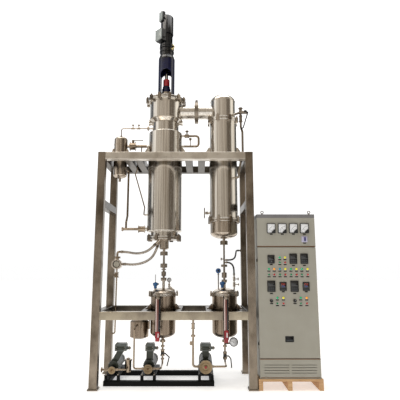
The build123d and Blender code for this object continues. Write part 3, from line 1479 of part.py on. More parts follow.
# Pump pipes: the receiver drains down to the pumps, and the pumps' own pipes
pump_heights = [pump_plate_top + radius + 14.0 for radius in pump_cover_radii]
pump_ends = [radius + nozzle_reach for radius in pump_cover_radii]
left_stem_height = 286.0
right_stem_height = 261.0
drain_stem_front = frame_y - 44.0
discharge_x = frame_x + 191.0
discharge_top = 650.0
suction_end_x = frame_x - 741.0
port_bore = 8.0
with BuildPart() as pump_pipes:
    drains = (
        (evaporator_x, pump_places[1] + pump_ends[1], pump_heights[1], left_stem_height),
        (condenser_x, pump_places[2] + pump_ends[2], pump_heights[2], right_stem_height),
    )
    for x, end_x, height, stem_height in drains:
        points = [
            (x, frame_y, receiver_outlet),
            (x, frame_y, height),
            (x, nozzle_y, height),
            (end_x, nozzle_y, height),
        ]
        bent_pipe(points, 10.0, 24.0)
        bar((x, frame_y, receiver_outlet - 12.0), (x, frame_y, receiver_outlet), 30.0)
        valve_body((x, frame_y, stem_height + 32.0), (x, frame_y, stem_height - 32.0), 25.0)
        bar((x, frame_y, stem_height), (x, drain_stem_front, stem_height), 12.0)
        bar(
            (x, drain_stem_front + 16.0, stem_height),
            (x, drain_stem_front, stem_height),
            stem_radius + running_clearance,
            mode=Mode.SUBTRACT,
        )
        pipe_joint((x, frame_y, 352.0), (0, 0, 1), 22.0)
        pipe_joint((x, frame_y, 222.0), (0, 0, 1), 20.0, 12.0)
    bar((condenser_x, frame_y, 372.0), (condenser_x + 80.0, frame_y - 96.0, 404.0), 8.0)
    bar((condenser_x + 86.0, frame_y - 92.0, 412.0), (condenser_x + 86.0, frame_y - 120.0, 412.0), 45.0)
    buffer_pipe_points = [
        (pump_places[1] - pump_ends[1], nozzle_y, pump_heights[1]),
        (buffer_x - 13.0, nozzle_y, pump_heights[1]),
        (buffer_x - 13.0, nozzle_y, buffer_nozzle_height),
        (buffer_x - 13.0, buffer_nozzle_face, buffer_nozzle_height),
    ]
    bent_pipe(buffer_pipe_points, 9.0, 24.0)
    discharge_points = [
        (pump_places[2] - pump_ends[2], nozzle_y, pump_heights[2]),
        (discharge_x, nozzle_y, pump_heights[2]),
        (discharge_x, nozzle_y, discharge_top),
    ]
    bent_pipe(discharge_points, 11.0, 26.0)
    valve_body((discharge_x, nozzle_y, 614.0), (discharge_x, nozzle_y, 558.0), 21.0)
    pipe_joint((discharge_x, nozzle_y, 489.0), (0, 0, 1), 24.0, 18.0)
    bar((discharge_x, nozzle_y, 413.0), (discharge_x - 30.0, nozzle_y, 413.0), 8.0)
    bar((discharge_x - 22.0, nozzle_y, 398.0), (discharge_x - 22.0, nozzle_y, 434.0), 13.0)
    bar(
        (discharge_x, nozzle_y, discharge_top - 30.0),
        (discharge_x, nozzle_y, discharge_top),
        port_bore,
        mode=Mode.SUBTRACT,
    )
    feed_left = (pump_places[0] - pump_ends[0], nozzle_y, pump_heights[0])
    feed_right = (pump_places[0] + pump_ends[0], nozzle_y, pump_heights[0])
    bar(feed_left, (suction_end_x, nozzle_y, pump_heights[0]), 11.0)
    bar((suction_end_x + 8.0, nozzle_y, pump_heights[0]), (suction_end_x, nozzle_y, pump_heights[0]), 25.0)
    bar(
        (suction_end_x + 30.0, nozzle_y, pump_heights[0]),
        (suction_end_x, nozzle_y, pump_heights[0]),
        port_bore,
        mode=Mode.SUBTRACT,
    )
    strainer_x = frame_x - 488.0
    feed_points = [
        feed_right,
        (strainer_x, nozzle_y, pump_heights[0]),
        (strainer_x, nozzle_y + 90.0, pump_heights[0]),
    ]
    bent_pipe(feed_points, 9.0, 24.0)
    bar((strainer_x, nozzle_y + 110.0, 112.0), (strainer_x, nozzle_y + 110.0, 222.0), 34.0)
    bar((strainer_x, nozzle_y + 110.0, 222.0), (strainer_x, nozzle_y + 110.0, 236.0), 40.0)
    bar((strainer_x, nozzle_y + 110.0, 236.0), (strainer_x, nozzle_y + 110.0, 250.0), 16.0)
pump_pipes.part.label = "pump_pipes"
export_step(pump_pipes.part, "parts/pump_pipes.step")


# Valve lever: round stem in its socket, hub in front, and a flat bar along the given points
def valve_lever(stem_start, stem_end, hub_radius, bar_points, bar_width, hub_length=12.0):
    stem_axis = (Vector(*stem_end) - Vector(*stem_start)).normalized()
    hub_end = Vector(*stem_end) + stem_axis * hub_length
    bar(stem_start, stem_end, stem_radius)
    bar(stem_end, tuple(hub_end), hub_radius)
    lever_plane = Plane(origin=stem_end, x_dir=(1, 0, 0), z_dir=stem_axis)
    local_points = [lever_plane.to_local_coords(Vector(*point)) for point in bar_points]
    with BuildSketch(lever_plane) as lever_bar:
        with BuildLine():
            Polyline(*[(point.X, point.Y) for point in local_points])
        trace(line_width=bar_width)
    extrude(lever_bar.sketch, amount=hub_length * 0.6)


# Lever of the vent valve
with BuildPart() as vent_lever:
    stem_y = frame_y + vent_stem_front
    valve_lever(
        (frame_x + vent_stem_x, stem_y + 14.0, vent_height),
        (frame_x + vent_stem_x, stem_y - 1.0, vent_height),
        13.0,
        [
            (frame_x + vent_stem_x, stem_y - 1.0, vent_height),
            at(796, 0, 2890),
            at(742, 0, 2713),
            at(716, 0, 2695),
        ],
        13.0,
    )
vent_lever.part.label = "vent_lever"
export_step(vent_lever.part, "parts/vent_lever.step")

# Lever of the left receiver's drain valve
with BuildPart() as left_drain_lever:
    valve_lever(
        (evaporator_x, drain_stem_front + 14.0, left_stem_height),
        (evaporator_x, drain_stem_front - 1.0, left_stem_height),
        13.0,
        [
            (evaporator_x, 0, left_stem_height),
            at(-107, 0, 286),
            at(-63, 0, 247),
            at(-86, 0, 158),
        ],
        12.0,
    )
left_drain_lever.part.label = "left_drain_lever"
export_step(left_drain_lever.part, "parts/left_drain_lever.step")

# Lever of the right receiver's drain valve
with BuildPart() as right_drain_lever:
    valve_lever(
        (condenser_x, drain_stem_front + 14.0, right_stem_height),
        (condenser_x, drain_stem_front - 1.0, right_stem_height),
        13.0,
        [
            (condenser_x, 0, right_stem_height),
            at(567, 0, 258),
            at(588, 0, 228),
            at(595, 0, 140),
        ],
        12.0,
    )
right_drain_lever.part.label = "right_drain_lever"
export_step(right_drain_lever.part, "parts/right_drain_lever.step")

# Lever of the ball valve on the preheater's heating pipe
with BuildPart() as preheater_valve_lever:
    lever_top = upper_nozzle_height + 62.0
    bar((stem_x, frame_y, stem_socket_floor + 1.0), (stem_x, frame_y, lever_top + 1.0), 8.0)
    bar((stem_x, frame_y, lever_top + 1.0), (stem_x, frame_y, lever_top + 13.0), 15.0)
    with BuildSketch(Plane.XY.offset(lever_top + 3.0)):
        with Locations((stem_x + 55.0, frame_y)):
            SlotCenterToCenter(110.0, 18.0)
    extrude(amount=7.0)
preheater_valve_lever.part.label = "preheater_valve_lever"
export_step(preheater_valve_lever.part, "parts/preheater_valve_lever.step")

# Cabinet shell: plinth, walls, roof, meter panel and the shelf under it, as separate sheets
cabinet_left = cabinet_x - cabinet_width / 2
cabinet_right = cabinet_x + cabinet_width / 2
plinth_top = 296.0
meter_panel_bottom = 1392.0
roof_bottom = 1690.0
sheet_gap = 0.2
walls_front = cabinet_front + door_thickness + 3.0
hinge_x = cabinet_left - 6.0
hinge_y = cabinet_front + 12.0
hinge_heights = (1240.0, 420.0)
hinge_half = 28.0
hinge_radius = 6.0
pin_radius = 3.0
meter_height = 1582.0
meter_offsets = (-153.0, -38.5, 76.5, 191.0)
meter_size = (88.0, 102.0)
meter_body_radius = 36.0
switch_offset = 189.0
switch_height = 1470.0
switch_radius = 28.0
louvre_heights = [161.0 + 25.0 * number for number in range(4)]
louvre_length = 246.0
with BuildPart() as cabinet_shell:
    block((cabinet_left, cabinet_front, cabinet_bottom), (cabinet_right, cabinet_back, plinth_top))
    block(
        (cabinet_left + cabinet_wall, cabinet_front + cabinet_wall, cabinet_bottom + cabinet_wall),
        (cabinet_right - cabinet_wall, cabinet_back - cabinet_wall, plinth_top - cabinet_wall),
        Mode.SUBTRACT,
    )
    with BuildSketch(Plane.XZ.offset(-cabinet_front)):
        for height in louvre_heights:
            with Locations((cabinet_x - 135.0, height), (cabinet_x + 135.0, height)):
                Rectangle(louvre_length, 5.0)
    extrude(amount=-cabinet_wall, mode=Mode.SUBTRACT)
    wall_bottom = plinth_top + sheet_gap
    wall_top = roof_bottom - sheet_gap
    for low_x in (cabinet_left, cabinet_right - cabinet_wall):
        block((low_x, walls_front, wall_bottom), (low_x + cabinet_wall, cabinet_back, wall_top))
    inner_left = cabinet_left + cabinet_wall + sheet_gap
    inner_right = cabinet_right - cabinet_wall - sheet_gap
    block((inner_left, cabinet_back - cabinet_wall, wall_bottom), (inner_right, cabinet_back, wall_top))
    block((cabinet_left, cabinet_front, roof_bottom), (cabinet_right, cabinet_back, cabinet_top))
    block(
        (cabinet_left + cabinet_wall, cabinet_front + cabinet_wall, roof_bottom),
        (cabinet_right - cabinet_wall, cabinet_back - cabinet_wall, cabinet_top - cabinet_wall),
        Mode.SUBTRACT,
    )
    block(
        (inner_left, walls_front, meter_panel_bottom - 6.0),
        (inner_right, cabinet_back - cabinet_wall - sheet_gap, meter_panel_bottom - 4.0),
    )
    block((cabinet_left, cabinet_front, meter_panel_bottom), (cabinet_right, walls_front - sheet_gap, wall_top))
    block(
        (cabinet_left + cabinet_wall, cabinet_front + cabinet_wall, meter_panel_bottom + cabinet_wall),
        (cabinet_right - cabinet_wall, walls_front, wall_top - cabinet_wall),
        Mode.SUBTRACT,
    )
    with BuildSketch(Plane.XZ.offset(-cabinet_front)):
        with Locations(*[(cabinet_x + offset, meter_height) for offset in meter_offsets]):
            Circle(meter_body_radius + 0.3)
        with Locations((cabinet_x + switch_offset, switch_height)):
            Circle(stem_radius + running_clearance)
    extrude(amount=-cabinet_wall, mode=Mode.SUBTRACT)
    for height in hinge_heights:
        bar((hinge_x, hinge_y, height + 0.2), (hinge_x, hinge_y, height + hinge_half), hinge_radius)
        block(
            (hinge_x - 3.0, hinge_y, height + 0.2),
            (hinge_x + 3.0, walls_front + 22.0, height + hinge_half),
        )
        block(
            (hinge_x + 1.0, walls_front + 2.0, height + 0.2),
            (cabinet_left, walls_front + 22.0, height + hinge_half),
        )
        bar(
            (hinge_x, hinge_y, height + 0.2),
            (hinge_x, hinge_y, height + hinge_half),
            pin_radius + running_clearance,
            mode=Mode.SUBTRACT,
        )
    for offset_x in (-236.0, 256.0):
        with BuildSketch(Plane.XZ.offset(-cabinet_front - 46.0)) as eye:
            with Locations((cabinet_x + offset_x, cabinet_top + 26.0)):
                Circle(17.0)
                Circle(10.0, mode=Mode.SUBTRACT)
        extrude(eye.sketch, amount=4.0, both=True)
        bar(
            (cabinet_x + offset_x, cabinet_front + 46.0, cabinet_top),
            (cabinet_x + offset_x, cabinet_front + 46.0, cabinet_top + 12.0),
            9.0,
        )
cabinet_shell.part.label = "cabinet_shell"
export_step(cabinet_shell.part, "parts/cabinet_shell.step")

# Places of everything on the door: across from the door's middle, and height
controller_places = ((-162.0, 1265.0, 72.0, 86.0),)
display_places = (
    (65.0, 1270.0, 78.0, 106.0),
    (177.0, 1270.0, 78.0, 106.0),
    (-167.0, 994.0, 82.0, 112.0),
    (68.0, 994.0, 82.0, 112.0),
    (-48.0, 993.0, 70.0, 88.0),
    (185.0, 993.0, 70.0, 88.0),
)
row_offsets = (-187.5, -133.0, -76.0, -21.0, 37.0, 93.0, 148.0, 206.0)
lamp_places = [(-74.0, 1283.0), (-20.0, 1283.0)]
lamp_places += [(offset, 1166.0) for offset in row_offsets]
lamp_places += [(-110.0, 880.0), (-49.0, 880.0), (125.0, 880.0), (185.0, 880.0)]
button_places = [(-74.0, 1232.0), (-20.0, 1232.0)]
button_places += [(offset, 1110.0) for offset in row_offsets]
button_places += [(-111.0, 825.0), (-50.0, 825.0), (125.0, 825.0), (185.0, 825.0)]
knob_places = ((-169.0, 851.0), (67.0, 851.0))
handle_place = (0.0, 480.0)
handle_size = (86.0, 57.0)
handle_depth = 14.0
door_skin = 2.0
door_side_gap = 1.0
instrument_clearance = 0.3
body_inset = 5.0
button_stem_radius = 5.0
knob_shaft_radius = 3.0
collar_outer = 12.0
collar_bore = 9.4
collar_depth = 7.0

# Cabinet door: folded sheet with a cut-out for each instrument, and its hinge knuckles
with BuildPart() as cabinet_door:
    door_left = cabinet_left + door_side_gap
    door_right = cabinet_right - door_side_gap
    door_back = cabinet_front + door_thickness
    block((door_left, cabinet_front, door_bottom), (door_right, door_back, door_top))
    block(
        (door_left + door_skin, cabinet_front + door_skin, door_bottom + door_skin),
        (door_right - door_skin, door_back, door_top - door_skin),
        Mode.SUBTRACT,
    )
    door_face = Plane.XZ.offset(-cabinet_front)
    with BuildSketch(door_face):
        for offset, height, width, rise in controller_places + display_places:
            with Locations((cabinet_x + offset, height)):
                Rectangle(width - 2 * body_inset + 0.6, rise - 2 * body_inset + 0.6)
        with Locations((cabinet_x + handle_place[0], handle_place[1])):
            Rectangle(handle_size[0] - 2 * body_inset + 0.6, handle_size[1] - 2 * body_inset + 0.6)
    extrude(amount=-door_skin, mode=Mode.SUBTRACT)
    with BuildSketch(door_face):
        with Locations(*[(cabinet_x + offset, height) for offset, height in button_places]):
            Circle(collar_outer)
    extrude(amount=collar_depth)
    with BuildSketch(door_face):
        with Locations(*[(cabinet_x + offset, height) for offset, height in button_places]):
            Circle(collar_bore)
    extrude(amount=collar_depth, mode=Mode.SUBTRACT)
    with BuildSketch(door_face):
        with Locations(*[(cabinet_x + offset, height) for offset, height in button_places]):
            Circle(button_stem_radius + running_clearance)
        with Locations(*[(cabinet_x + offset, height) for offset, height in knob_places]):
            Circle(knob_shaft_radius + running_clearance)
    extrude(amount=-door_skin, mode=Mode.SUBTRACT)
    for height in hinge_heights:
        bar((hinge_x, hinge_y, height - hinge_half), (hinge_x, hinge_y, height), hinge_radius)
        bar((hinge_x, hinge_y, height), (hinge_x, hinge_y, height + hinge_half), pin_radius)
        block((hinge_x, hinge_y - 3.0, height - hinge_half), (door_left, hinge_y + 3.0, height))
cabinet_door.part.label = "cabinet_door"
export_step(cabinet_door.part, "parts/cabinet_door.step")

# Fittings on the door: controllers and displays through their cut-outs, lamps, recessed handle
with BuildPart() as panel_instruments:
    handle_x = cabinet_x + handle_place[0]
    half_width = handle_size[0] / 2
    half_rise = handle_size[1] / 2
    block(
        (handle_x - half_width, cabinet_front - 3.0, handle_place[1] - half_rise),
        (handle_x + half_width, cabinet_front, handle_place[1] + half_rise),
    )
    block(
        (handle_x - half_width + body_inset, cabinet_front, handle_place[1] - half_rise + body_inset),
        (handle_x + half_width - body_inset, cabinet_front + handle_depth, handle_place[1] + half_rise - body_inset),
    )
    block(
        (handle_x - half_width + 8.0, cabinet_front - 3.0, handle_place[1] - half_rise + 8.0),
        (handle_x + half_width - 8.0, cabinet_front + handle_depth - 2.0, handle_place[1] + half_rise - 20.0),
        Mode.SUBTRACT,
    )
    for offset, height, width, rise in controller_places + display_places:
        centre = cabinet_x + offset
        block(
            (centre - width / 2, cabinet_front - 8.0, height - rise / 2),
            (centre + width / 2, cabinet_front, height + rise / 2),
        )
        block(
            (centre - width / 2 + body_inset, cabinet_front, height - rise / 2 + body_inset),
            (centre + width / 2 - body_inset, cabinet_front + 70.0, height + rise / 2 - body_inset),
        )
    for offset, height in lamp_places:
        foot = (cabinet_x + offset, cabinet_front, height)
        bar(foot, (foot[0], cabinet_front - 5.0, height), 11.0)
        bar((foot[0], cabinet_front - 5.0, height), (foot[0], cabinet_front - 11.0, height), 8.5)
panel_instruments.part.label = "panel_instruments"
export_step(panel_instruments.part, "parts/panel_instruments.step")

# Meters on the fixed panel: square faces with round bodies behind
with BuildPart() as panel_meters:
    for offset in meter_offsets:
        centre = cabinet_x + offset
        with BuildSketch(Plane.XZ.offset(-cabinet_front)) as meter_face:
            with Locations((centre, meter_height)):
                RectangleRounded(meter_size[0], meter_size[1], 5.0)
        extrude(meter_face.sketch, amount=14.0)
        bar((centre, cabinet_front, meter_height), (centre, cabinet_front + 45.0, meter_height), meter_body_radius)
panel_meters.part.label = "panel_meters"
export_step(panel_meters.part, "parts/panel_meters.step")

# Main switch: rotary knob with a grip bar, its shaft through the fixed panel
with BuildPart() as main_switch:
    switch_x = cabinet_x + switch_offset
    bar((switch_x, cabinet_front + 20.0, switch_height), (switch_x, cabinet_front - 2.0, switch_height), stem_radius)
    bar(
        (switch_x, cabinet_front - 1.0, switch_height),
        (switch_x, cabinet_front - 13.0, switch_height),
        switch_radius,
    )
    block((switch_x - 7.0, cabinet_front - 30.0, switch_height - 24.0), (switch_x + 7.0, cabinet_front - 13.0, switch_height + 24.0))
main_switch.part.label = "main_switch"
export_step(main_switch.part, "parts/main_switch.step")

# Speed knobs on the door
for number, (offset, height) in enumerate(knob_places, 1):
    with BuildPart() as speed_knob:
        knob_x = cabinet_x + offset
        bar((knob_x, cabinet_front + 14.0, height), (knob_x, cabinet_front - 1.0, height), knob_shaft_radius)
        bar((knob_x, cabinet_front - 0.5, height), (knob_x, cabinet_front - 5.0, height), 17.0)
        bar((knob_x, cabinet_front - 5.0, height), (knob_x, cabinet_front - 20.0, height), 13.0)
    speed_knob.part.label = f"speed_knob_{number}"
    export_step(speed_knob.part, f"parts/speed_knob_{number}.step")

# Push buttons on the door, each with its stem through the sheet and a foot behind
button_cap_radius = 9.0
button_travel = 4.0
for number, (offset, height) in enumerate(button_places, 1):
    with BuildPart() as push_button:
        button_x = cabinet_x + offset
        cap_back = cabinet_front - button_travel - 0.5
        bar((button_x, cap_back, height), (button_x, cap_back - 8.0, height), button_cap_radius)
        bar((button_x, cap_back, height), (button_x, cabinet_front + 9.0, height), button_stem_radius)
        bar((button_x, cabinet_front + 3.0, height), (button_x, cabinet_front + 9.0, height), 8.0)
    push_button.part.label = f"push_button_{number}"
    export_step(push_button.part, f"parts/push_button_{number}.step")

# Control gear: mounting plate on studs, with the drives and breakers on it
gear_plate_front = cabinet_back - cabinet_wall - 30.0
with BuildPart() as control_gear:
    block((cabinet_x - 265.0, gear_plate_front, 360.0), (cabinet_x + 265.0, gear_plate_front + 3.0, 1340.0))
    for offset_x in (-240.0, 240.0):
        for height in (400.0, 1300.0):
            foot = (cabinet_x + offset_x, gear_plate_front + 3.0, height)
            bar(foot, (foot[0], cabinet_back - cabinet_wall, height), 6.0)
    for offset_x in (-190.0, -65.0, 60.0, 185.0):
        block(
            (cabinet_x + offset_x - 48.0, gear_plate_front - 130.0, 1090.0),
            (cabinet_x + offset_x + 48.0, gear_plate_front, 1280.0),
        )
    for height in (980.0, 800.0, 620.0):
        block(
            (cabinet_x - 240.0, gear_plate_front - 10.0, height - 18.0),
            (cabinet_x + 240.0, gear_plate_front, height + 18.0),
        )
        for column in range(9):
            left = cabinet_x - 225.0 + column * 50.0
            block(
                (left, gear_plate_front - 70.0, height - 42.0),
                (left + 36.0, gear_plate_front - 10.0, height + 42.0),
            )
control_gear.part.label = "control_gear"
export_step(control_gear.part, "parts/control_gear.step")

# Timber pallet under the cabinet: boards on three stringers
board_thickness = 22.0
stringer_width = 42.0
stringer_places = (-pallet_length / 2 + 21.0, -10.0, pallet_length / 2 - 21.0)
pallet_front = cabinet_front - (pallet_depth - cabinet_depth) / 2
with BuildPart() as cabinet_pallet:
    for place in stringer_places:
        block(
            (cabinet_x + place - stringer_width / 2, pallet_front, 0.0),
            (cabinet_x + place + stringer_width / 2, pallet_front + pallet_depth, pallet_height - board_thickness - sheet_gap),
        )
    for number in range(5):
        front = pallet_front + number * (pallet_depth - 74.0) / 4
        block(
            (cabinet_x - pallet_length / 2, front, pallet_height - board_thickness),
            (cabinet_x + pallet_length / 2, front + 74.0, pallet_height),
        )
cabinet_pallet.part.label = "cabinet_pallet"
export_step(cabinet_pallet.part, "parts/cabinet_pallet.step")
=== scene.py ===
import math
from itertools import product

import bmesh
import bpy
from mathutils import Matrix, Vector


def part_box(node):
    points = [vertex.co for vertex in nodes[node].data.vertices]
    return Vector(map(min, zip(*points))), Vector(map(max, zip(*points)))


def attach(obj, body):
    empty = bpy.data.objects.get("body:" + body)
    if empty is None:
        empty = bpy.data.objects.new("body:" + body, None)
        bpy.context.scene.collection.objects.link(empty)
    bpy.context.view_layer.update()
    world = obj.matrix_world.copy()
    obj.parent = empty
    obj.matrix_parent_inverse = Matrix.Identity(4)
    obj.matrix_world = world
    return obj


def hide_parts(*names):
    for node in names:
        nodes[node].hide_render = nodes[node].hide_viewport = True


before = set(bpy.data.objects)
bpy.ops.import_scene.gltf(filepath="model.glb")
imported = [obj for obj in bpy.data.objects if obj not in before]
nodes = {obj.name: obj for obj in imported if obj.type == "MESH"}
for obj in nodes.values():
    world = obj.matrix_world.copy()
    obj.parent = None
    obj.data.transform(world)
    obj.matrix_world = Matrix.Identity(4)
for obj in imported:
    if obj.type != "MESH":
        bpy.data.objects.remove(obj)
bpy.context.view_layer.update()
print("frame loaded with", len(nodes), "nodes")

mm = 0.001
up, down, toFront = Vector((0, 0, 1)), Vector((0, 0, -1)), Vector((0, -1, 0))
bothSides = (-1, 1)
fourCorners = list(product(bothSides, repeat=2))


# Middle of a node's box
def middle(node):
    low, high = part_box(node)
    return (low + high) / 2


frameX, frameY = middle("frame_posts").x, middle("frame_posts").y
evaporatorX = middle("top_cover").x
condenserX = middle("condenser_tubes").x
cabinetX = middle("cabinet_pallet").x
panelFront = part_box("panel_meters")[0].y + 14 * mm  # the meters stand 14 mm proud of the cabinet's front


# Point measured from the middle of the frame's footprint, in millimetres
def at(x, y, z):
    return Vector((frameX + x * mm, frameY + y * mm, z * mm))


# Point measured from the cabinet's front face, in millimetres, with depth towards the back
def onPanel(x, depth, z):
    return Vector((cabinetX + x * mm, panelFront + depth * mm, z * mm))


# Point of a circle, by its angle in degrees
def onCircle(radius, angle, x=0.0, y=0.0):
    turn = math.radians(angle)
    return x + radius * math.cos(turn), y + radius * math.sin(turn)


# Point measured from a vessel's upright axis, at a radius and an angle from the X axis
def around(axisX, radius, angle, z):
    x, y = onCircle(radius * mm, angle)
    return Vector((axisX + x, frameY + y, z * mm))


# sRGB hex to the linear values that a shader takes
def hexColour(code):
    channels = [int(code[i:i + 2], 16) / 255 for i in (1, 3, 5)]
    linear = [c / 12.92 if c <= 0.04045 else ((c + 0.055) / 1.055) ** 2.4 for c in channels]
    return (*linear, 1.0)


# Adds one node: values by socket name, links by socket name from another node's output
def addNode(tree, kind, values=None, links=None, **settings):
    node = tree.nodes.new(kind)
    for key, value in settings.items():
        setattr(node, key, value)
    for socket, value in (values or {}).items():
        node.inputs[socket].default_value = value
    for socket, source in (links or {}).items():
        tree.links.new(source, node.inputs[socket])
    return node


# Empty material with its shader, and the object coordinates that patterns read
def startMaterial(name, colour, metallic=0.0, roughness=0.5, **sockets):
    material = bpy.data.materials.new(name)
    material.use_nodes = True
    tree = material.node_tree
    tree.nodes.clear()
    values = {"Base Color": hexColour(colour), "Metallic": metallic, "Roughness": roughness}
    shader = addNode(tree, "ShaderNodeBsdfPrincipled", {**values, **sockets})
    addNode(tree, "ShaderNodeOutputMaterial", links={"Surface": shader.outputs[0]})
    place = addNode(tree, "ShaderNodeTexCoord").outputs["Object"]
    return material, tree, shader, place


# Noise stretched by a size in millimetres along each axis
def stretchedNoise(tree, place, sizes, detail=3.0, roughness=0.5):
    scale = {"Scale": tuple(1000 / size for size in sizes)}
    stretch = addNode(tree, "ShaderNodeMapping", scale, {"Vector": place})
    values = {"Scale": 1.0, "Detail": detail, "Roughness": roughness}
    return addNode(tree, "ShaderNodeTexNoise", values, {"Vector": stretch.outputs[0]}).outputs["Fac"]


# Two colours mixed by a pattern, between two of its levels
def colourBetween(tree, pattern, dark, light, low=0.35, high=0.65):
    ramp = addNode(tree, "ShaderNodeValToRGB", links={"Fac": pattern})
    for element, position, code in zip(ramp.color_ramp.elements, (low, high), (dark, light)):
        element.position, element.color = position, hexColour(code)
    return ramp.outputs["Color"]


# Level of a pattern moved to a range, for roughness
def levelBetween(tree, pattern, low, high):
    values = {"From Min": 0.3, "From Max": 0.7, "To Min": low, "To Max": high}
    return addNode(tree, "ShaderNodeMapRange", values, {"Value": pattern}).outputs["Result"]


# Bump from a pattern, with its depth in millimetres
def addBump(tree, shader, pattern, depth, strength=1.0):
    values = {"Strength": strength, "Distance": depth * mm}
    bump = addNode(tree, "ShaderNodeBump", values, {"Height": pattern})
    tree.links.new(bump.outputs["Normal"], shader.inputs["Normal"])


# Stainless steel ground with a belt: long fine scratches one way, and faint cloudy stains
def brushedSteel(name, dark, light, grain, roughness=(0.24, 0.36), depth=0.05, patches=(210, 210, 330)):
    material, tree, shader, place = startMaterial(name, light, metallic=1.0)
    scratches = stretchedNoise(tree, place, grain, 2.0)
    clouds = stretchedNoise(tree, place, patches, 4.0, 0.6)
    colour = colourBetween(tree, clouds, dark, light, 0.3, 0.62)
    tree.links.new(colour, shader.inputs["Base Color"])
    tree.links.new(levelBetween(tree, scratches, *roughness), shader.inputs["Roughness"])
    addBump(tree, shader, scratches, depth, 0.5)
    return material


# Paint sprayed on metal: even colour with a fine orange-peel skin that spreads the highlights
def sprayedPaint(name, dark, light, roughness, peel=1.6, depth=0.05, **sockets):
    material, tree, shader, place = startMaterial(name, light, roughness=roughness, **sockets)
    patches = stretchedNoise(tree, place, (160, 160, 160), 3.0)
    tree.links.new(colourBetween(tree, patches, dark, light), shader.inputs["Base Color"])
    skin = stretchedNoise(tree, place, (peel, peel, peel), 1.0)
    addBump(tree, shader, skin, depth, 0.4)
    return material


# Moulded plastic or rubber: fine grain from the mould, a little duller on the raised grain
def mouldedPlastic(name, colour, roughness=0.42, grain=0.8, **sockets):
    material, tree, shader, place = startMaterial(name, colour, roughness=roughness, **sockets)
    skin = stretchedNoise(tree, place, (grain, grain, grain), 2.0)
    tree.links.new(levelBetween(tree, skin, roughness * 0.85, roughness * 1.15), shader.inputs["Roughness"])
    addBump(tree, shader, skin, 0.02, 0.4)
    return material


# Glass over a dark space: wet-looking, with a film of dust that dulls it in patches
def darkGlass(name, colour, roughness=0.06):
    material, tree, shader, place = startMaterial(name, colour, roughness=roughness, **{"Coat Weight": 0.6})
    dust = stretchedNoise(tree, place, (40, 40, 40), 4.0, 0.6)
    tree.links.new(levelBetween(tree, dust, roughness, roughness + 0.08), shader.inputs["Roughness"])
    return material


# Coloured lens of a lamp: moulded acrylic with a little light behind it
def lampLens(name, colour, glow=0.25):
    material, tree, shader, place = startMaterial(name, colour, roughness=0.18, **{"Coat Weight": 0.4})
    facets = stretchedNoise(tree, place, (3.0, 3.0, 3.0), 1.0)
    shader.inputs["Emission Color"].default_value = hexColour(colour)
    shader.inputs["Emission Strength"].default_value = glow
    addBump(tree, shader, facets, 0.15, 0.4)
    return material


# Frame tube, belt-ground along its length: matt bands that catch the light across the scratches.
# One steel in lit and shaded copies: the posts and lower beams are darker with painted shade, the top beams
# paler with painted light, and the rails, which stand in the shade, darkest with painted shade
runUp, runAlong, runDeep = (1.2, 1.2, 90.0), (90.0, 1.2, 1.2), (1.2, 90.0, 1.2)
shadedPostSteel = brushedSteel("BrushedPostSteelPaintedShade", "#61574b", "#94897b", runUp, (0.24, 0.38))
litBeamSteel = brushedSteel("BrushedBeamSteelPaintedLight", "#b3aa9e", "#dad4ca", runAlong, (0.26, 0.4))
shadedMidBeamSteel = brushedSteel("BrushedMidBeamSteelPaintedShade", "#877d70", "#aea491", runAlong, (0.26, 0.4))
shadedRailSteel = brushedSteel("BrushedRailSteelPaintedShade", "#3c3833", "#5d574f", runDeep, (0.26, 0.4))
# Rolled sheet of the vessels, ground round and polished up: light and dark lines run up the walls
vesselSteel = brushedSteel(
    "BrushedVesselSteel", "#afa79c", "#e9e4dc", (2.2, 2.2, 260.0), (0.15, 0.25), 0.03, (14, 14, 1500)
)
# Heads, pots and the preheater are darker copies of the vessel steel, as painted shade, and the receivers are
# darker still with painted shade
potGrain, potDull = (2.2, 2.2, 160.0), (0.18, 0.28)
shadedPotSteel = brushedSteel("BrushedPotSteelPaintedShade", "#918679", "#c8bcae", potGrain, potDull, 0.03, (24, 24, 700))
shadedTankSteel = brushedSteel("BrushedTankSteelPaintedShade", "#66594d", "#998a7a", potGrain, potDull, 0.03, (24, 24, 500))
# Flanges and covers off the lathe: fine rings that turn the highlight into a fan
flangeSteel = brushedSteel("TurnedFlangeSteel", "#9a8f82", "#c6bcb0", (14.0, 14.0, 0.8), (0.16, 0.28), 0.03)
innerSteel = brushedSteel("PolishedRotorSteel", "#b0aca6", "#d2cfca", (20.0, 20.0, 0.8), (0.1, 0.18), 0.02)
coverSteel = brushedSteel("TurnedPumpCoverSteel", "#6f604c", "#978468", (2.0, 9.0, 2.0), (0.3, 0.42), 0.04)
# Investment-cast fittings: pebbled, greyer and duller than the pipes; drawn pipes: smooth, warm tint
fittingSteel = brushedSteel("CastFittingSteel", "#6a6156", "#9d9285", (3.0, 3.0, 3.0), (0.24, 0.4), 0.06)
pipeSteel = brushedSteel("DrawnPipeSteel", "#7d6f5f", "#ab9b88", (20.0, 20.0, 20.0), (0.16, 0.28), 0.02)
# Rolled bolts are bright at their edges; a weld's bead is rippled and dull
boltSteel = brushedSteel("RolledBoltSteel", "#837b71", "#b5aca1", (1.5, 1.5, 1.5), (0.22, 0.34), 0.03)
weldSteel = brushedSteel("BrushedWeldSteel", "#857b6f", "#b3a899", (2.2, 2.2, 2.2), (0.28, 0.44), 0.2)
# Plated brass of the lifting eye: pale gold; chromed rings of the lamps and buttons: mirror-like
brassEye = brushedSteel("PalePlatedBrass", "#9a8a5e", "#d8c99a", (2.0, 2.0, 2.0), (0.24, 0.38), 0.03)
lampChrome = brushedSteel("ChromedRing", "#b4b3b1", "#dcdbd9", (4.0, 4.0, 4.0), (0.08, 0.14), 0.01)
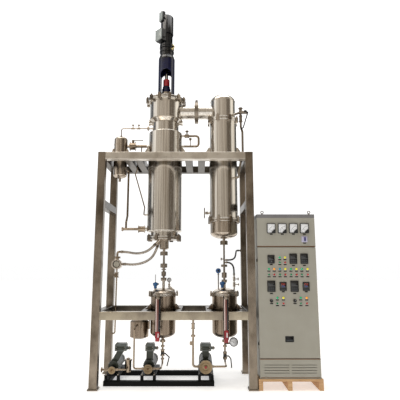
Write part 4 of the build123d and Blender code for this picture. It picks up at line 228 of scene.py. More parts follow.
# Sprayed enamels: glossy on the drive, flat on the pumps' rails, satin on boxes and gauges
navyEnamel = sprayedPaint("NavyEnamel", "#070a24", "#0f1438", 0.16)  # motor stand and bearing housing
blackEnamel = sprayedPaint("BlackEnamel", "#08090b", "#121418", 0.2)  # drive and reducer
railEnamel = sprayedPaint("BlackRailEnamel", "#030303", "#060607", 0.5, **{"Specular IOR Level": 0.15})
pumpEnamel = sprayedPaint("GreyGreenEnamel", "#23281f", "#383f34", 0.34, 2.4, 0.1)  # cast pump motors
boxEnamel = sprayedPaint("PaleGreyEnamel", "#59605e", "#767d7a", 0.36)  # terminal boxes
lidEnamel = sprayedPaint("MidGreyEnamel", "#7e8584", "#9ca3a1", 0.34)  # box lids on the drive
headEnamel = sprayedPaint("BlueEnamel", "#1b477c", "#33699f", 0.3)  # level heads
redEnamel = sprayedPaint("RedEnamel", "#7c1a20", "#a52630", 0.36)  # coupling and gauges' end blocks
# Powder coat baked on the cabinet: even warm grey with orange peel; the roof is colder and darker with
# painted shade
cabinetCoat = sprayedPaint("WarmGreyPowderCoat", "#9d9b90", "#a19f95", 0.5, 1.4, 0.06)
shadedRoofCoat = sprayedPaint("RoofGreyPowderCoatPaintedShade", "#737275", "#7a797b", 0.48, 1.4, 0.06)
# Moulded rubber and plastics: soft sheen, no sharp reflections
blackRubber = mouldedPlastic("BlackRubber", "#1d1c1b", 0.5, 1.2)
blackPlastic = mouldedPlastic("BlackMouldedAbs", "#0a0b0c", 0.4)
greyPlastic = mouldedPlastic("GreyMouldedAbs", "#83868a", 0.44)
keyPlastic = mouldedPlastic("GreyKeyRubber", "#33373b", 0.5)
lilacPlastic = mouldedPlastic("LilacGreyPlate", "#b9b7cf", 0.4)  # plate under the main switch
gripPlastic = mouldedPlastic("DarkBlueGrip", "#14176b", 0.32)
filledPtfe = mouldedPlastic("FilledPtfe", "#d9d4c6", 0.5)  # wipers
brownTrimAndShadowGap = mouldedPlastic("BrownTrimAndPaintedShadowGap", "#6a4726", 0.6, 2.0)  # brown strips in the cabinet's joints, which paint the shadow gap there and its reflection; also the foot strip and two pump caps
labelLaminate = mouldedPlastic("BlackLabelLaminate", "#0b0b0e", 0.5)  # blank engraving laminate
greenCap = mouldedPlastic("GreenAcetal", "#0c7f4c", 0.3)
redCap = mouldedPlastic("RedAcetal", "#b62320", 0.3)
dialWhite = mouldedPlastic("WhiteDialCard", "#e9ecf0", 0.5)
stripPink = mouldedPlastic("PinkishGaugeStrip", "#d9c3bd", 0.36)  # scale strip beside the glass
inkBlack = mouldedPlastic("PrintedBlackInk", "#101114", 0.6)
# Panes: brown with the liquid's stain, smoked over the displays, and pale over the flow, where the pale
# colour is painted light of the lit bore behind
tubeBrown = darkGlass("BrownGaugeGlass", "#6e3b34", 0.1)
windowGlass = darkGlass("SmokedDisplayWindow", "#060708", 0.2)
sightGlass = darkGlass("SightGlassPanePaintedLight", "#b5b1a4", 0.08)
# Acrylic lenses and lit figures: saturated colours with a faint glow
screenRed = lampLens("RedDisplayGlow", "#a5281d", 0.3)
screenBlue = lampLens("BlueDisplayGlow", "#2b3f9c", 0.3)
lensGreen = lampLens("GreenLampLens", "#0fa06a")
lensYellow = lampLens("YellowLampLens", "#d8cf2a")
lensOrange = lampLens("OrangeLampLens", "#f09a1c")
lensTeal = lampLens("TealLampLens", "#0b7a92")
print("metals, paints, plastics and glass made")


# Place and direction as a matrix: local Z runs along the direction, local Y points up
def facing(point, direction=toFront):
    rotation = Vector(direction).to_track_quat("Z", "Y").to_matrix().to_4x4()
    return Matrix.Translation(point) @ rotation


# Shape in the making, with the finishes that its faces use
def newShape():
    return {"mesh": bmesh.new(), "finishes": []}


# Rings of points in millimetres, joined one to the next: closed at both ends, or back to the first
def addRings(shape, finish, place, rings, looped=False):
    mesh = shape["mesh"]
    if finish not in shape["finishes"]:
        shape["finishes"].append(finish)
    rows = [[mesh.verts.new(place @ (Vector(point) * mm)) for point in ring] for ring in rings]
    faces = [] if looped else [mesh.faces.new(rows[0][::-1]), mesh.faces.new(rows[-1])]
    pairs = list(zip(rows, rows[1:])) + ([(rows[-1], rows[0])] if looped else [])
    for lower, upper in pairs:
        for i in range(len(lower)):
            j = (i + 1) % len(lower)
            faces.append(mesh.faces.new((lower[i], lower[j], upper[j], upper[i])))
    for face in faces:
        face.material_index = shape["finishes"].index(finish)
        face.smooth = True


# Outline of a plate with rounded corners, about the point x, y
def plateOutline(width, height, corner, z, x=0.0, y=0.0):
    points = []
    for side, (cornerX, cornerY) in enumerate(((1, 1), (-1, 1), (-1, -1), (1, -1))):
        for step in range(4):
            across = x + cornerX * (width / 2 - corner)
            rise = y + cornerY * (height / 2 - corner)
            points.append((*onCircle(corner, 90 * side + 30 * step, across, rise), z))
    return points


# Plate or block with rounded corners, its outer face eased at the edge
def addPlate(shape, finish, place, width, height, low, high, corner=2.0, edge=0.8, x=0.0, y=0.0):
    corner = max(min(corner, width / 2 - 0.05, height / 2 - 0.05), edge + 0.05)
    rings = [
        plateOutline(width, height, corner, low, x, y),
        plateOutline(width, height, corner, high - edge, x, y),
        plateOutline(width - 2 * edge, height - 2 * edge, corner - edge, high, x, y),
    ]
    addRings(shape, finish, place, rings)


# Turned form from (radius, distance) points along the place's direction
def addTurned(shape, finish, place, profile, segments=28, looped=False, x=0.0, y=0.0):
    rings = []
    for radius, distance in profile:
        steps = [2 * math.pi * i / segments for i in range(segments)]
        rings.append([(x + radius * math.cos(a), y + radius * math.sin(a), distance) for a in steps])
    addRings(shape, finish, place, rings, looped)


# Flat bar between two points of the place's face, such as a needle or a scale mark
def addStroke(shape, finish, place, start, end, width, low, high, tip=None):
    along = (Vector(end) - Vector(start)).normalized()
    side = Vector((-along.y, along.x)) * (width / 2)
    far = side * ((width if tip is None else tip) / width)
    corners = [Vector(start) - side, Vector(end) - far, Vector(end) + far, Vector(start) + side]
    addRings(shape, finish, place, [[(c.x, c.y, z) for c in corners] for z in (low, high)])


# Ends a shape: smooth faces, crisp edges past a limit, riding on a body
def finishShape(shape, name, body, *replaced, crisp=34.0):
    for edge in shape["mesh"].edges:
        edge.smooth = edge.calc_face_angle(0.0) < math.radians(crisp)
    data = bpy.data.meshes.new(name)
    shape["mesh"].to_mesh(data)
    shape["mesh"].free()
    for finish in shape["finishes"]:
        data.materials.append(finish)
    piece = bpy.data.objects.new(name, data)
    bpy.context.scene.collection.objects.link(piece)
    if replaced:
        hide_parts(*replaced)
    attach(piece, body)
    return piece


# Copy of a node's mesh, merged, whose faces take a finish by where they lie
def dressedCopy(name, node, body, finishes, choose, crisp=30.0):
    shape = {"mesh": bmesh.new(), "finishes": finishes}
    shape["mesh"].from_mesh(nodes[node].data)
    bmesh.ops.remove_doubles(shape["mesh"], verts=shape["mesh"].verts, dist=1e-6)
    for face in shape["mesh"].faces:
        face.smooth = True
        face.material_index = choose(face.calc_center_median())
    return finishShape(shape, name, body, node, crisp=crisp)


# Nodes shown with their own mesh and a single finish
finishNodes = (
    (shadedPostSteel, "frame_posts"),
    (shadedRailSteel, "frame_rails"),
    (vesselSteel, "evaporator_body heating_jacket condenser_shell condenser_dome"),
    (shadedPotSteel, "bottom_head condenser_pot feed_preheater"),
    (shadedTankSteel, "receiver_tanks"),
    (flangeSteel, "top_cover receiver_lids"),
    (innerSteel, "condenser_tubes"),
    (pipeSteel, "heating_pipes pump_pipes"),
    (fittingSteel, "outlet_lines preheater_valve_lever"),
    (filledPtfe, "wiper_blades"),
    (navyEnamel, "motor_stand"),
    (blackEnamel, "gear_reducer"),
    (railEnamel, "pump_frame"),
    (cabinetCoat, "cabinet_door"),
    (blackPlastic, "vent_lever left_drain_lever right_drain_lever speed_knob_1 speed_knob_2"),
    (greenCap, " ".join(f"push_button_{number}" for number in range(1, 15, 2))),
    (redCap, " ".join(f"push_button_{number}" for number in range(2, 15, 2))),
)


# Gives nodes, named in one string, a single finish
def giveFinish(finish, names):
    for name in names.split():
        nodes[name].data.materials.clear()
        nodes[name].data.materials.append(finish)


for finish, names in finishNodes:
    giveFinish(finish, names)
print("finishes given to nodes of one finish")

# The drive's two boxes: place of their middle from the shaft, turn, heights and size in millimetres
driveBoxes = (
    {"x": -66, "y": -60, "turn": 45, "low": 3850, "high": 3990, "width": 110, "depth": 70, "gland": 15},
    {"x": -52, "y": -46, "turn": 33, "low": 4119, "high": 4236, "width": 72, "depth": 40, "gland": 10},
)
# Levels and planes where one finish ends and the next begins
driveCase = 78.4 * mm
roofLine, roofTop, shellSide = 1689 * mm, 1729 * mm, cabinetX - 300.5 * mm
topBeams, ringReach, boxLine = 1500 * mm, 200 * mm, 320 * mm
nozzlePlane, coverPlane = (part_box("pump_heads")[0].y + depth * mm for depth in (22, 21.5))
pumpAxes = [frameX + x * mm for x in (-629, -264, 320)]
pumpRadii = (36, 46, 66)
sealPaintLine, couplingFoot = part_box("top_cover")[1].z + 97.5 * mm, 3300 * mm
shaftBore = 21 * mm


# Distance of a point from the evaporator's axis
def fromShaft(point):
    return math.hypot(point.x - evaporatorX, point.y - frameY)


# Drive: plastic boxes on the enamelled case
def driveFinish(point):
    for box in driveBoxes:
        across = Vector((point.x - evaporatorX - box["x"] * mm, point.y - frameY - box["y"] * mm))
        across.rotate(Matrix.Rotation(-math.radians(box["turn"]), 2))
        inDepth = abs(across.x) < (box["depth"] / 2 + 0.5) * mm
        inWidth = abs(across.y) < (box["width"] / 2 + 0.5) * mm
        inRise = (box["low"] - 1) * mm < point.z < (box["high"] + 1) * mm
        if inDepth and inWidth and inRise and fromShaft(point) > driveCase:
            return 1
    return 0


# Pump heads: beige cover in front, black body behind it, steel nozzles at the sides
def pumpHeadFinish(point):
    number = min(range(3), key=lambda i: abs(point.x - pumpAxes[i]))
    if abs(point.x - pumpAxes[number]) > pumpRadii[number] * mm * 0.9 and point.y > nozzlePlane:
        return 2
    return int(point.y > coverPlane)


# Cabinet: pale sheets, a roof darker with painted shade, steel eyes on it, and black hinges at its left side
def shellFinish(point):
    if point.z > roofTop:
        return 2
    if point.x < shellSide:
        return 3
    return 1 if point.z > roofLine else 0


# Rotor: the coupling above the bearing housing is red, the rest is bare steel
def rotorFinish(point):
    return int(point.z > couplingFoot - 0.5 * mm and fromShaft(point) > shaftBore)


# Shaft seal: bare steel, with the painted bearing housing above it
def sealFinish(point):
    return int(point.z > sealPaintLine)


# Clamps: plain castings at the evaporator, brighter ones on the condenser's side
def clampFinish(point):
    return int(abs(point.x - condenserX) < ringReach)


# Long beams: painted light makes those at the top the palest, painted shade darkens the lower ones, and those
# at the back stand in the shade, darkest with painted shade
def beamFinish(point):
    return 2 if point.y > frameY else int(point.z < topBeams)


# Pump motors: cast cases, with the terminal boxes on top
def pumpMotorFinish(point):
    return int(point.z > boxLine)


dressedCopy("driveMotorCase", "drive_motor", "frame", [blackEnamel, blackPlastic], driveFinish)
dressedCopy("pumpHeadCastings", "pump_heads", "frame", [coverSteel, railEnamel, pipeSteel], pumpHeadFinish)
dressedCopy("pumpMotorCases", "pump_motors", "frame", [pumpEnamel, boxEnamel], pumpMotorFinish)
shellFinishes = [cabinetCoat, shadedRoofCoat, fittingSteel, blackEnamel]
dressedCopy("cabinetSheets", "cabinet_shell", "frame", shellFinishes, shellFinish)
dressedCopy("rotorAndCoupling", "rotor_shaft", "rotor", [innerSteel, redEnamel], rotorFinish)
sealFinishes = [flangeSteel, navyEnamel]
sealPiece = dressedCopy("sealAndHousing", "seal_and_bearing", "frame", sealFinishes, sealFinish)
# Bores of the seal and the foot bearing, eased by half a millimetre so that their facets clear the shaft
for vertex in sealPiece.data.vertices:
    away = Vector((vertex.co.x - evaporatorX, vertex.co.y - frameY, 0))
    if away.length < shaftBore:
        vertex.co += away.normalized() * 0.5 * mm
dressedCopy("flangeClamps", "flange_clamps", "frame", [fittingSteel, flangeSteel], clampFinish)
dressedCopy("longBeams", "frame_beams", "frame", [litBeamSteel, shadedMidBeamSteel, shadedRailSteel], beamFinish)
print("nodes of several finishes dressed")


# Node tree that sets a hexagon head on its washer at every vertex of a mesh, along a stored direction
def boltTree():
    tree = bpy.data.node_groups.new("HexagonBolts", "GeometryNodeTree")
    sizes = ("Across flats", "Head height", "Washer radius", "Washer height")
    tree.interface.new_socket(name="Geometry", in_out="INPUT", socket_type="NodeSocketGeometry")
    for name in sizes:
        tree.interface.new_socket(name=name, in_out="INPUT", socket_type="NodeSocketFloat")
    tree.interface.new_socket(name="Finish", in_out="INPUT", socket_type="NodeSocketMaterial")
    tree.interface.new_socket(name="Geometry", in_out="OUTPUT", socket_type="NodeSocketGeometry")
    given = addNode(tree, "NodeGroupInput").outputs
    size = {name: given[name] for name in sizes}
    # Corner radius of the hexagon, the eased cap on it, and the heights of head and cap above the face
    steps = (
        ("corner", "MULTIPLY", "Across flats", 0.57735),
        ("eased", "MULTIPLY", "corner", 0.86),
        ("crown", "MULTIPLY", "Head height", 0.22),
        ("half", "MULTIPLY", "Head height", 0.5),
        ("lift", "ADD", "half", "Washer height"),
        ("top", "ADD", "Head height", "Washer height"),
    )
    for name, operation, first, second in steps:
        step = addNode(tree, "ShaderNodeMath", links={0: size[first]}, operation=operation)
        if second in size:
            tree.links.new(size[second], step.inputs[1])
        else:
            step.inputs[1].default_value = second
        size[name] = step.outputs[0]
    capLengths = {"Radius Bottom": "corner", "Radius Top": "eased", "Depth": "crown"}
    forms = (
        ("GeometryNodeMeshCylinder", 14, {"Radius": "Washer radius", "Depth": "Washer height"}, None),
        ("GeometryNodeMeshCylinder", 6, {"Radius": "corner", "Depth": "Head height"}, "lift"),
        ("GeometryNodeMeshCone", 6, capLengths, "top"),
    )
    bolt = addNode(tree, "GeometryNodeJoinGeometry")
    for kind, sides, lengths, height in forms:
        links = {socket: size[name] for socket, name in lengths.items()}
        form = addNode(tree, kind, {"Vertices": sides}, links).outputs["Mesh"]
        if height:
            offset = addNode(tree, "ShaderNodeCombineXYZ", links={"Z": size[height]}).outputs[0]
            moved = {"Geometry": form, "Translation": offset}
            form = addNode(tree, "GeometryNodeTransform", links=moved).outputs[0]
        tree.links.new(form, bolt.inputs[0])
    stored = addNode(tree, "GeometryNodeInputNamedAttribute", {"Name": "facing"}, data_type="FLOAT_VECTOR")
    aligned = {"Vector": stored.outputs[0]}
    turn = addNode(tree, "FunctionNodeAlignRotationToVector", links=aligned, axis="Z").outputs[0]
    spots = addNode(tree, "GeometryNodeMeshToPoints", links={"Mesh": given["Geometry"]}).outputs[0]
    placing = {"Points": spots, "Instance": bolt.outputs[0], "Rotation": turn}
    placed = addNode(tree, "GeometryNodeInstanceOnPoints", links=placing).outputs[0]
    real = addNode(tree, "GeometryNodeRealizeInstances", links={"Geometry": placed}).outputs[0]
    dressing = {"Geometry": real, "Material": given["Finish"]}
    dressed = addNode(tree, "GeometryNodeSetMaterial", links=dressing).outputs[0]
    addNode(tree, "NodeGroupOutput", links={"Geometry": dressed})
    return tree


hexagonBolts = boltTree()


# Runs a node tree on a mesh with its inputs by name, and keeps the result as a plain mesh
def growMesh(name, source, tree, values):
    carrier = bpy.data.objects.new(name + "Carrier", source)
    bpy.context.scene.collection.objects.link(carrier)
    modifier = carrier.modifiers.new(tree.name, "NODES")
    modifier.node_group = tree
    for item in tree.interface.items_tree:
        if item.in_out == "INPUT" and item.name in values:
            modifier[item.identifier] = values[item.name]
    seen = carrier.evaluated_get(bpy.context.evaluated_depsgraph_get())
    grown = bpy.data.meshes.new_from_object(seen)
    grown.name = name
    bpy.data.objects.remove(carrier)
    piece = bpy.data.objects.new(name, grown)
    bpy.context.scene.collection.objects.link(piece)
    return piece


# Bolts of one size at places with their directions, all on the frame's body
def boltField(name, spots, flats, head, washer, finish):
    source = bpy.data.meshes.new(name + "Spots")
    source.from_pydata([tuple(point) for point, direction in spots], [], [])
    facingWay = source.attributes.new("facing", "FLOAT_VECTOR", "POINT")
    for item, (point, direction) in zip(facingWay.data, spots):
        item.vector = direction
    values = {
        "Across flats": flats * mm,
        "Head height": head * mm,
        "Washer radius": washer * mm,
        "Washer height": 2 * mm,
        "Finish": finish,
    }
    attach(growMesh(name, source, hexagonBolts, values), "frame")


# Rings of eight on the drive, by radius, first angle, height and direction: the nuts on the cover
# round the motor stand, and the bolts of the reducer's flanges and the bearing housing
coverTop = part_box("top_cover")[1].z / mm
driveBolts = {
    "standNuts": {"rings": ((118, 22.5, coverTop, up),), "sizes": (17.0, 10.0, 11.0), "finish": boltSteel},
    "reducerBolts": {
        "rings": ((91.5, 22.5, 3641, up), (84, 10, 3740, up), (85, 0, 3800, down)),
        "sizes": (8.0, 6.0, 5.5),
        "finish": blackEnamel,
    },
}
for name, row in driveBolts.items():
    spots = []
    for number in range(8):
        for radius, first, height, way in row["rings"]:
            spots.append((around(evaporatorX, radius, 45 * number + first, height), way))
    boltField(name, spots, *row["sizes"], row["finish"])

# Bolts of the posts' feet, and of the lugs that hang the vessels on the top beams
feet = {"postX": 785, "postY": 316.5, "plate": 43.61, "top": 12}
postX, postY, plate = feet["postX"], feet["postY"], feet["plate"]
spots = []
for side, row, deep, across in product(bothSides, repeat=4):
    spots.append((at(side * postX + across * plate, row * postY + deep * plate, feet["top"]), up))
boltField("footBolts", spots, 6.0, 5.0, 4.6, boltSteel)
lugs = {"z": 2.41, "reach": ((evaporatorX, 262), (condenserX, 228))}
spots = []
for (axisX, reach), side in product(lugs["reach"], bothSides):
    spots.append((Vector((axisX + side * reach * mm, frameY, lugs["z"])), up))
boltField("lugBolts", spots, 18.0, 12.0, 15.0, boltSteel)

# Bolts of the pumps' feet: two rows, and only the rear one where the head is large
pumpFeet = {"halfWidth": 60, "front": -206, "rear": -160, "largeHead": 60, "top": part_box("pump_frame")[1].z}
spots = []
for (axis, radius), side in product(zip(pumpAxes, pumpRadii), bothSides):
    rows = [pumpFeet["front"], pumpFeet["rear"]] if radius < pumpFeet["largeHead"] else [pumpFeet["rear"]]
    for deep in rows:
        x = axis + side * pumpFeet["halfWidth"] * mm
        spots.append((Vector((x, frameY + deep * mm, pumpFeet["top"])), up))
boltField("pumpFootBolts", spots, 11.0, 7.0, 9.0, boltSteel)
print("bolts set")

# Weld beads where rings and cones meet the vessels' walls: low rounded ridges, by radius and height
welds = {
    "width": 6.0,
    "proud": 1.6,
    "rings": (
        (evaporatorX, 191.6, 2869),
        (evaporatorX, 155.2, 2829),
        (evaporatorX, 155.2, 2717.5),
        (condenserX, 147.0, 3099),
    ),
}
shape = newShape()
half, proud = welds["width"] / 2, welds["proud"]
for axisX, radius, height in welds["rings"]:
    profile = [(radius - 2, -half), (radius, -half), (radius + proud * 0.8, -half / 2), (radius + proud, 0)]
    profile += [(radius + proud * 0.8, half / 2), (radius, half), (radius - 2, half)]
    addTurned(shape, weldSteel, facing((axisX, frameY, height * mm), up), profile, 72, looped=True)
finishShape(shape, "weldBeads", "frame", crisp=60)

# Flange joints by radius, height and half thickness: a dark gasket between two bright turned rims
flangeJoints = (
    (evaporatorX, 220.0, 3100.0, 17.0),
    (evaporatorX, 180.0, 1501.0, 16.0),
    (condenserX, 168.0, 2862.0, 20.0),
    (condenserX, 168.0, 1701.0, 20.0),
    (evaporatorX, 148.0, 893.0, 12.0),
    (condenserX, 148.0, 893.0, 12.0),
)
shape = newShape()
for axisX, radius, face, half in flangeJoints:
    place = facing((axisX, frameY, face * mm), up)
    gasket = [(radius - 3, -1.4), (radius + 0.5, -1.4), (radius + 0.5, 1.4), (radius - 3, 1.4)]
    addTurned(shape, blackRubber, place, gasket, 72, looped=True)
    rim = [(radius - 2, half - 6), (radius + 0.9, half - 6), (radius + 1.2, half - 2)]
    rim += [(radius, half + 0.3), (radius - 2, half + 0.3)]
    addTurned(shape, innerSteel, place, [(r, -z) for r, z in reversed(rim)], 72, looped=True)
    addTurned(shape, innerSteel, place, rim, 72, looped=True)
finishShape(shape, "flangeRims", "frame")

# Lifting eye on the reducer's flange, plated brass, seen from the front as a ring
eye = {"x": 70.0, "y": -52.0, "z": 3786.0, "ring": 22.0, "bar": 5.5}
shape = newShape()
eyePlace = facing((evaporatorX + eye["x"] * mm, frameY + eye["y"] * mm, eye["z"] * mm))
section = [onCircle(eye["bar"], 36 * step, eye["ring"]) for step in range(10)]
shank = [(12, 0), (12, 5), (7, 8), (6, 18)]
addTurned(shape, brassEye, eyePlace, section, 30, looped=True)
addTurned(shape, brassEye, facing(eyePlace.translation - up * 40 * mm, up), shank, 20)
finishShape(shape, "reducerEye", "frame", crisp=60)

# Lids and glands of the drive's two boxes, and the nuts that hold them
shape = newShape()
lidScrews = []
for box in driveBoxes:
    cosine, sine = onCircle(1, box["turn"])
    outward, side = Vector((-cosine, -sine, 0)), Vector((sine, -cosine, 0))
    width, rise, gland = box["width"], box["high"] - box["low"], box["gland"]
    boxMiddle = (box["low"] + box["high"]) / 2
    centre = Vector((evaporatorX + box["x"] * mm, frameY + box["y"] * mm, boxMiddle * mm))
    place = facing(centre + outward * (box["depth"] / 2) * mm, outward)
    addPlate(shape, blackEnamel, place, width - 3, rise - 5, -0.5, 1.2, 7, 0.4)
    addPlate(shape, lidEnamel, place, width + 2, rise - 1.5, 1.2, 11, 9, 3.5)
    addPlate(shape, lidEnamel, place, width * 0.62, rise * 0.56, 10.5, 13, 8, 1.5)
    for across, along in fourCorners:
        offset = Vector((across * (width / 2 - 8), along * (rise / 2 - 9), 11)) * mm
        lidScrews.append((place @ offset, outward))
    glandPlace = facing(centre + side * (width / 2) * mm - up * rise * 0.2 * mm, side)
    profile = [(gland, -1), (gland, 6), (gland * 0.8, 8), (gland * 0.8, 16), (gland * 0.5, 20)]
    addTurned(shape, blackPlastic, glandPlace, profile, 18)
finishShape(shape, "driveBoxLids", "frame")
boltField("lidScrews", lidScrews, 6.0, 3.0, 4.5, boltSteel)
print("drive fittings made")

# Everything on the cabinet's front is placed from the door's middle and a height, in millimetres
instruments = {
    "controllers": ((-162, 1265, 72, 86),),
    "bigDisplays": ((65, 1270, 78, 106), (177, 1270, 78, 106), (-167, 994, 82, 112), (68, 994, 82, 112)),
    "smallDisplays": ((-48, 993, 70, 88), (185, 993, 70, 88)),
    "proud": 8.0,
    "bodyInset": 5.0,
    "bodyDepth": 70.0,
}
rowOffsets = (-187.5, -133.0, -76.0, -21.0, 37.0, 93.0, 148.0, 206.0)
rowLenses = (lensGreen, lensOrange, lensTeal, lensYellow, lensGreen, lensYellow, lensGreen, lensYellow)
lampSpots = [(-74, 1283, lensGreen), (-20, 1283, lensYellow)]
lampSpots += [(offset, 1166, lens) for offset, lens in zip(rowOffsets, rowLenses)]
lampSpots += [(-110, 880, lensGreen), (-49, 880, lensYellow), (125, 880, lensGreen), (185, 880, lensOrange)]
buttonSpots = [(-74, 1232), (-20, 1232)] + [(offset, 1110) for offset in rowOffsets]
buttonSpots += [(-111, 825), (-50, 825), (125, 825), (185, 825)]
knobSpots = ((-169, 851), (67, 851))
segmentsOf = {"0": "abcdef", "2": "abdeg", "5": "acdfg"}
segmentBars = {
    "a": ((-1, 2), (1, 2)),
    "b": ((1, 2), (1, 0)),
    "c": ((1, 0), (1, -2)),
    "d": ((-1, -2), (1, -2)),
    "e": ((-1, 0), (-1, -2)),
    "f": ((-1, 2), (-1, 0)),
    "g": ((-1, 0), (1, 0)),
}


# Place on the cabinet's front, facing the viewer
def frontPlace(x, z):
    return facing(onPanel(x, 0, z))


# Row of lit digits from straight segments, centred on a point of the place's face
def addDigits(shape, finish, place, figures, x, y, rise, height):
    unit = rise / 4
    for number, figure in enumerate(figures):
        middleX = x + (number - (len(figures) - 1) / 2) * rise * 0.78
        for name in segmentsOf[figure]:
            ends = [(middleX + barX * unit * 0.9, y + barY * unit) for barX, barY in segmentBars[name]]
            addStroke(shape, finish, place, *ends, rise * 0.13, height, height + 0.3)


# Housing of a controller or display: body behind the sheet, bezel and smoked window in front of it
def addHousing(shape, place, width, rise, margin, share, lift):
    inset, face, back = instruments["bodyInset"], instruments["proud"], -instruments["bodyDepth"]
    paneWidth, paneRise, paneY = width - margin, rise * share, rise * lift
    addPlate(shape, greyPlastic, place, width - 2 * inset, rise - 2 * inset, back, 0.2, 3)
    addPlate(shape, blackPlastic, place, width, rise, 0.2, face, 5, 2)
    addPlate(shape, windowGlass, place, paneWidth, paneRise, face - 0.2, face + 0.6, 2, 0.3, y=paneY)


# Blank label plate
def addLabel(shape, place, width, rise, thick=1.4):
    addPlate(shape, labelLaminate, place, width, rise, 0.05, thick, 1.2, 0.3)


shape = newShape()
face = instruments["proud"]
for offset, height, width, rise in instruments["controllers"]:
    place, knobY = frontPlace(offset, height), -rise * 0.28
    addHousing(shape, place, width, rise, 16, 0.5, 0.14)
    addTurned(shape, keyPlastic, place, [(10, face - 0.2), (10, face + 3), (8.5, face + 4)], 20, y=knobY)
    addStroke(shape, dialWhite, place, (0, knobY), (5, knobY + 6), 1.4, face + 3.9, face + 4.2)
for offset, height, width, rise in instruments["bigDisplays"]:
    place = frontPlace(offset, height)
    addHousing(shape, place, width, rise, 14, 0.4, 0.2)
    addDigits(shape, keyPlastic, place, "0000", -3, rise * 0.2, 17, face + 0.6)
    for column, row in product(range(3), range(2)):
        x, y = (column - 1) * width * 0.26, -rise * (0.16 + 0.18 * row)
        addPlate(shape, keyPlastic, place, width * 0.19, 10, face - 0.2, face + 1.2, 2.5, 0.5, x, y)
for offset, height, width, rise in instruments["smallDisplays"]:
    place = frontPlace(offset, height)
    addHousing(shape, place, width, rise, 10, 0.56, 0.13)
    addDigits(shape, screenRed, place, "250", 0, rise * 0.25, 18, face + 0.6)
    addDigits(shape, screenBlue, place, "050", 0, rise * 0.01, 12, face + 0.6)
    for column in range(4):
        x, y = (column - 1.5) * width * 0.21, -rise * 0.32
        addPlate(shape, keyPlastic, place, width * 0.15, 8, face - 0.2, face + 1.2, 2, 0.5, x, y)

# Lamps: chromed ring, coloured lens with a low dome, and the grey body behind the sheet
lamp = {"ring": 13.0, "lens": 11.4, "proud": 11.0, "bodyRadius": 8, "bodyDepth": 32}
ring, glass, proud = lamp["ring"], lamp["lens"], lamp["proud"]
dome = [(glass, 4.2), (glass, proud - 3.2), (glass * 0.88, proud - 1.2), (glass * 0.6, proud - 0.2)]
dome += [(glass * 0.25, proud)]
lampBody = [(lamp["bodyRadius"], -lamp["bodyDepth"]), (lamp["bodyRadius"], -2), (lamp["bodyRadius"], 0)]
for offset, height, lens in lampSpots:
    place = frontPlace(offset, height)
    addTurned(shape, lampChrome, place, [(ring, 0), (ring, 3.4), (ring - 0.8, 4.2), (glass - 0.4, 4.2)], 24)
    addTurned(shape, lens, place, dome, 24)
    addTurned(shape, greyPlastic, place, lampBody, 14)

# Recessed door handle: frame, hollow and the paddle in it
handle = {"x": 0.0, "z": 480.0, "width": 86.0, "rise": 57.0, "lip": 8.0, "deep": 12.0}
place = frontPlace(handle["x"], handle["z"])
width, rise, lip, deep = handle["width"], handle["rise"], handle["lip"], handle["deep"]
holeWidth, holeRise = width - 2 * lip, rise - 2 * lip
rings = [
    plateOutline(width, rise, 5, 0),
    plateOutline(width, rise, 5, 2.0),
    plateOutline(width - 2, rise - 2, 4, 3.0),
    plateOutline(holeWidth, holeRise, 3, 3.0),
    plateOutline(holeWidth, holeRise, 3, -deep),
    plateOutline(width - 10, rise - 10, 3, -deep - 2),
    plateOutline(width - 10, rise - 10, 3, 0),
]
addRings(shape, blackPlastic, place, rings, looped=True)
addPlate(shape, blackPlastic, place, holeWidth, holeRise, -deep - 1.5, -deep, 3, 0.2)
addPlate(shape, keyPlastic, place, holeWidth - 6, 15, 1 - deep, 1.5, 3, 1.2, y=-rise / 2 + lip + 9)
finishShape(shape, "doorInstruments", "door", "panel_instruments")

# Collars round the push buttons, and blank label plates under lamps, buttons, knobs and displays
collar = {"inner": 9.15, "outer": 12.5, "proud": 7.5}
shape = newShape()
inner, outer, proud = collar["inner"], collar["outer"], collar["proud"]
profile = [(inner, 0.1), (outer, 0.1), (outer, proud - 0.8), (outer - 0.8, proud)]
profile += [(inner + 0.6, proud), (inner, proud - 0.6)]
for offset, height in buttonSpots:
    addTurned(shape, lampChrome, frontPlace(offset, height), profile, 26, looped=True)
finishShape(shape, "buttonCollars", "door")
labels = {"width": 31.0, "rise": 11.0, "drop": 21.0, "knobDrop": 27}
shape = newShape()
smallLabels = [(x, z - labels["drop"]) for x, z, lens in lampSpots]
smallLabels += [(x, z - labels["drop"]) for x, z in buttonSpots]
smallLabels += [(x, z - labels["knobDrop"]) for x, z in knobSpots]
for offset, height in smallLabels:
    addLabel(shape, frontPlace(offset, height), labels["width"], labels["rise"])
for group, gap in (("controllers", 10), ("bigDisplays", 15), ("smallDisplays", 9)):
    for offset, height, width, rise in instruments[group]:
        addLabel(shape, frontPlace(offset, height - rise / 2 - gap), 30, 13)
finishShape(shape, "doorLabels", "door")

# Panel meters: dark bezel, white card, scale marks, needle, and the dark cover over the pivot
meter = {
    "offsets": (-153.0, -38.5, 76.5, 191.0),
    "needles": (158.0, 134.0, 142.0, 150.0),
    "height": 1582.0,
    "width": 88.0,
    "rise": 102.0,
    "proud": 14.0,
    "bodyRadius": 36.0,
    "bodyDepth": 45.0,
    "pivot": (30.0, -34.0),
    "scale": 56.0,
}
shape = newShape()
width, rise, front, pivot, scale = (meter[key] for key in ("width", "rise", "proud", "pivot", "scale"))
card = front - 3.4
rings = [
    plateOutline(width, rise, 5, 0),
    plateOutline(width, rise, 5, front - 2),
    plateOutline(width - 3, rise - 3, 4, front),
    plateOutline(width - 11, rise - 11, 3, front),
    plateOutline(width - 12, rise - 12, 3, front - 4),
    plateOutline(width - 12, rise - 12, 3, 0.4),
]
pivotCover = [(4, -45), (2, -38), (30, -10), (38, -12), (38, -45)]
body = [(meter["bodyRadius"], -meter["bodyDepth"]), (meter["bodyRadius"], 0)]
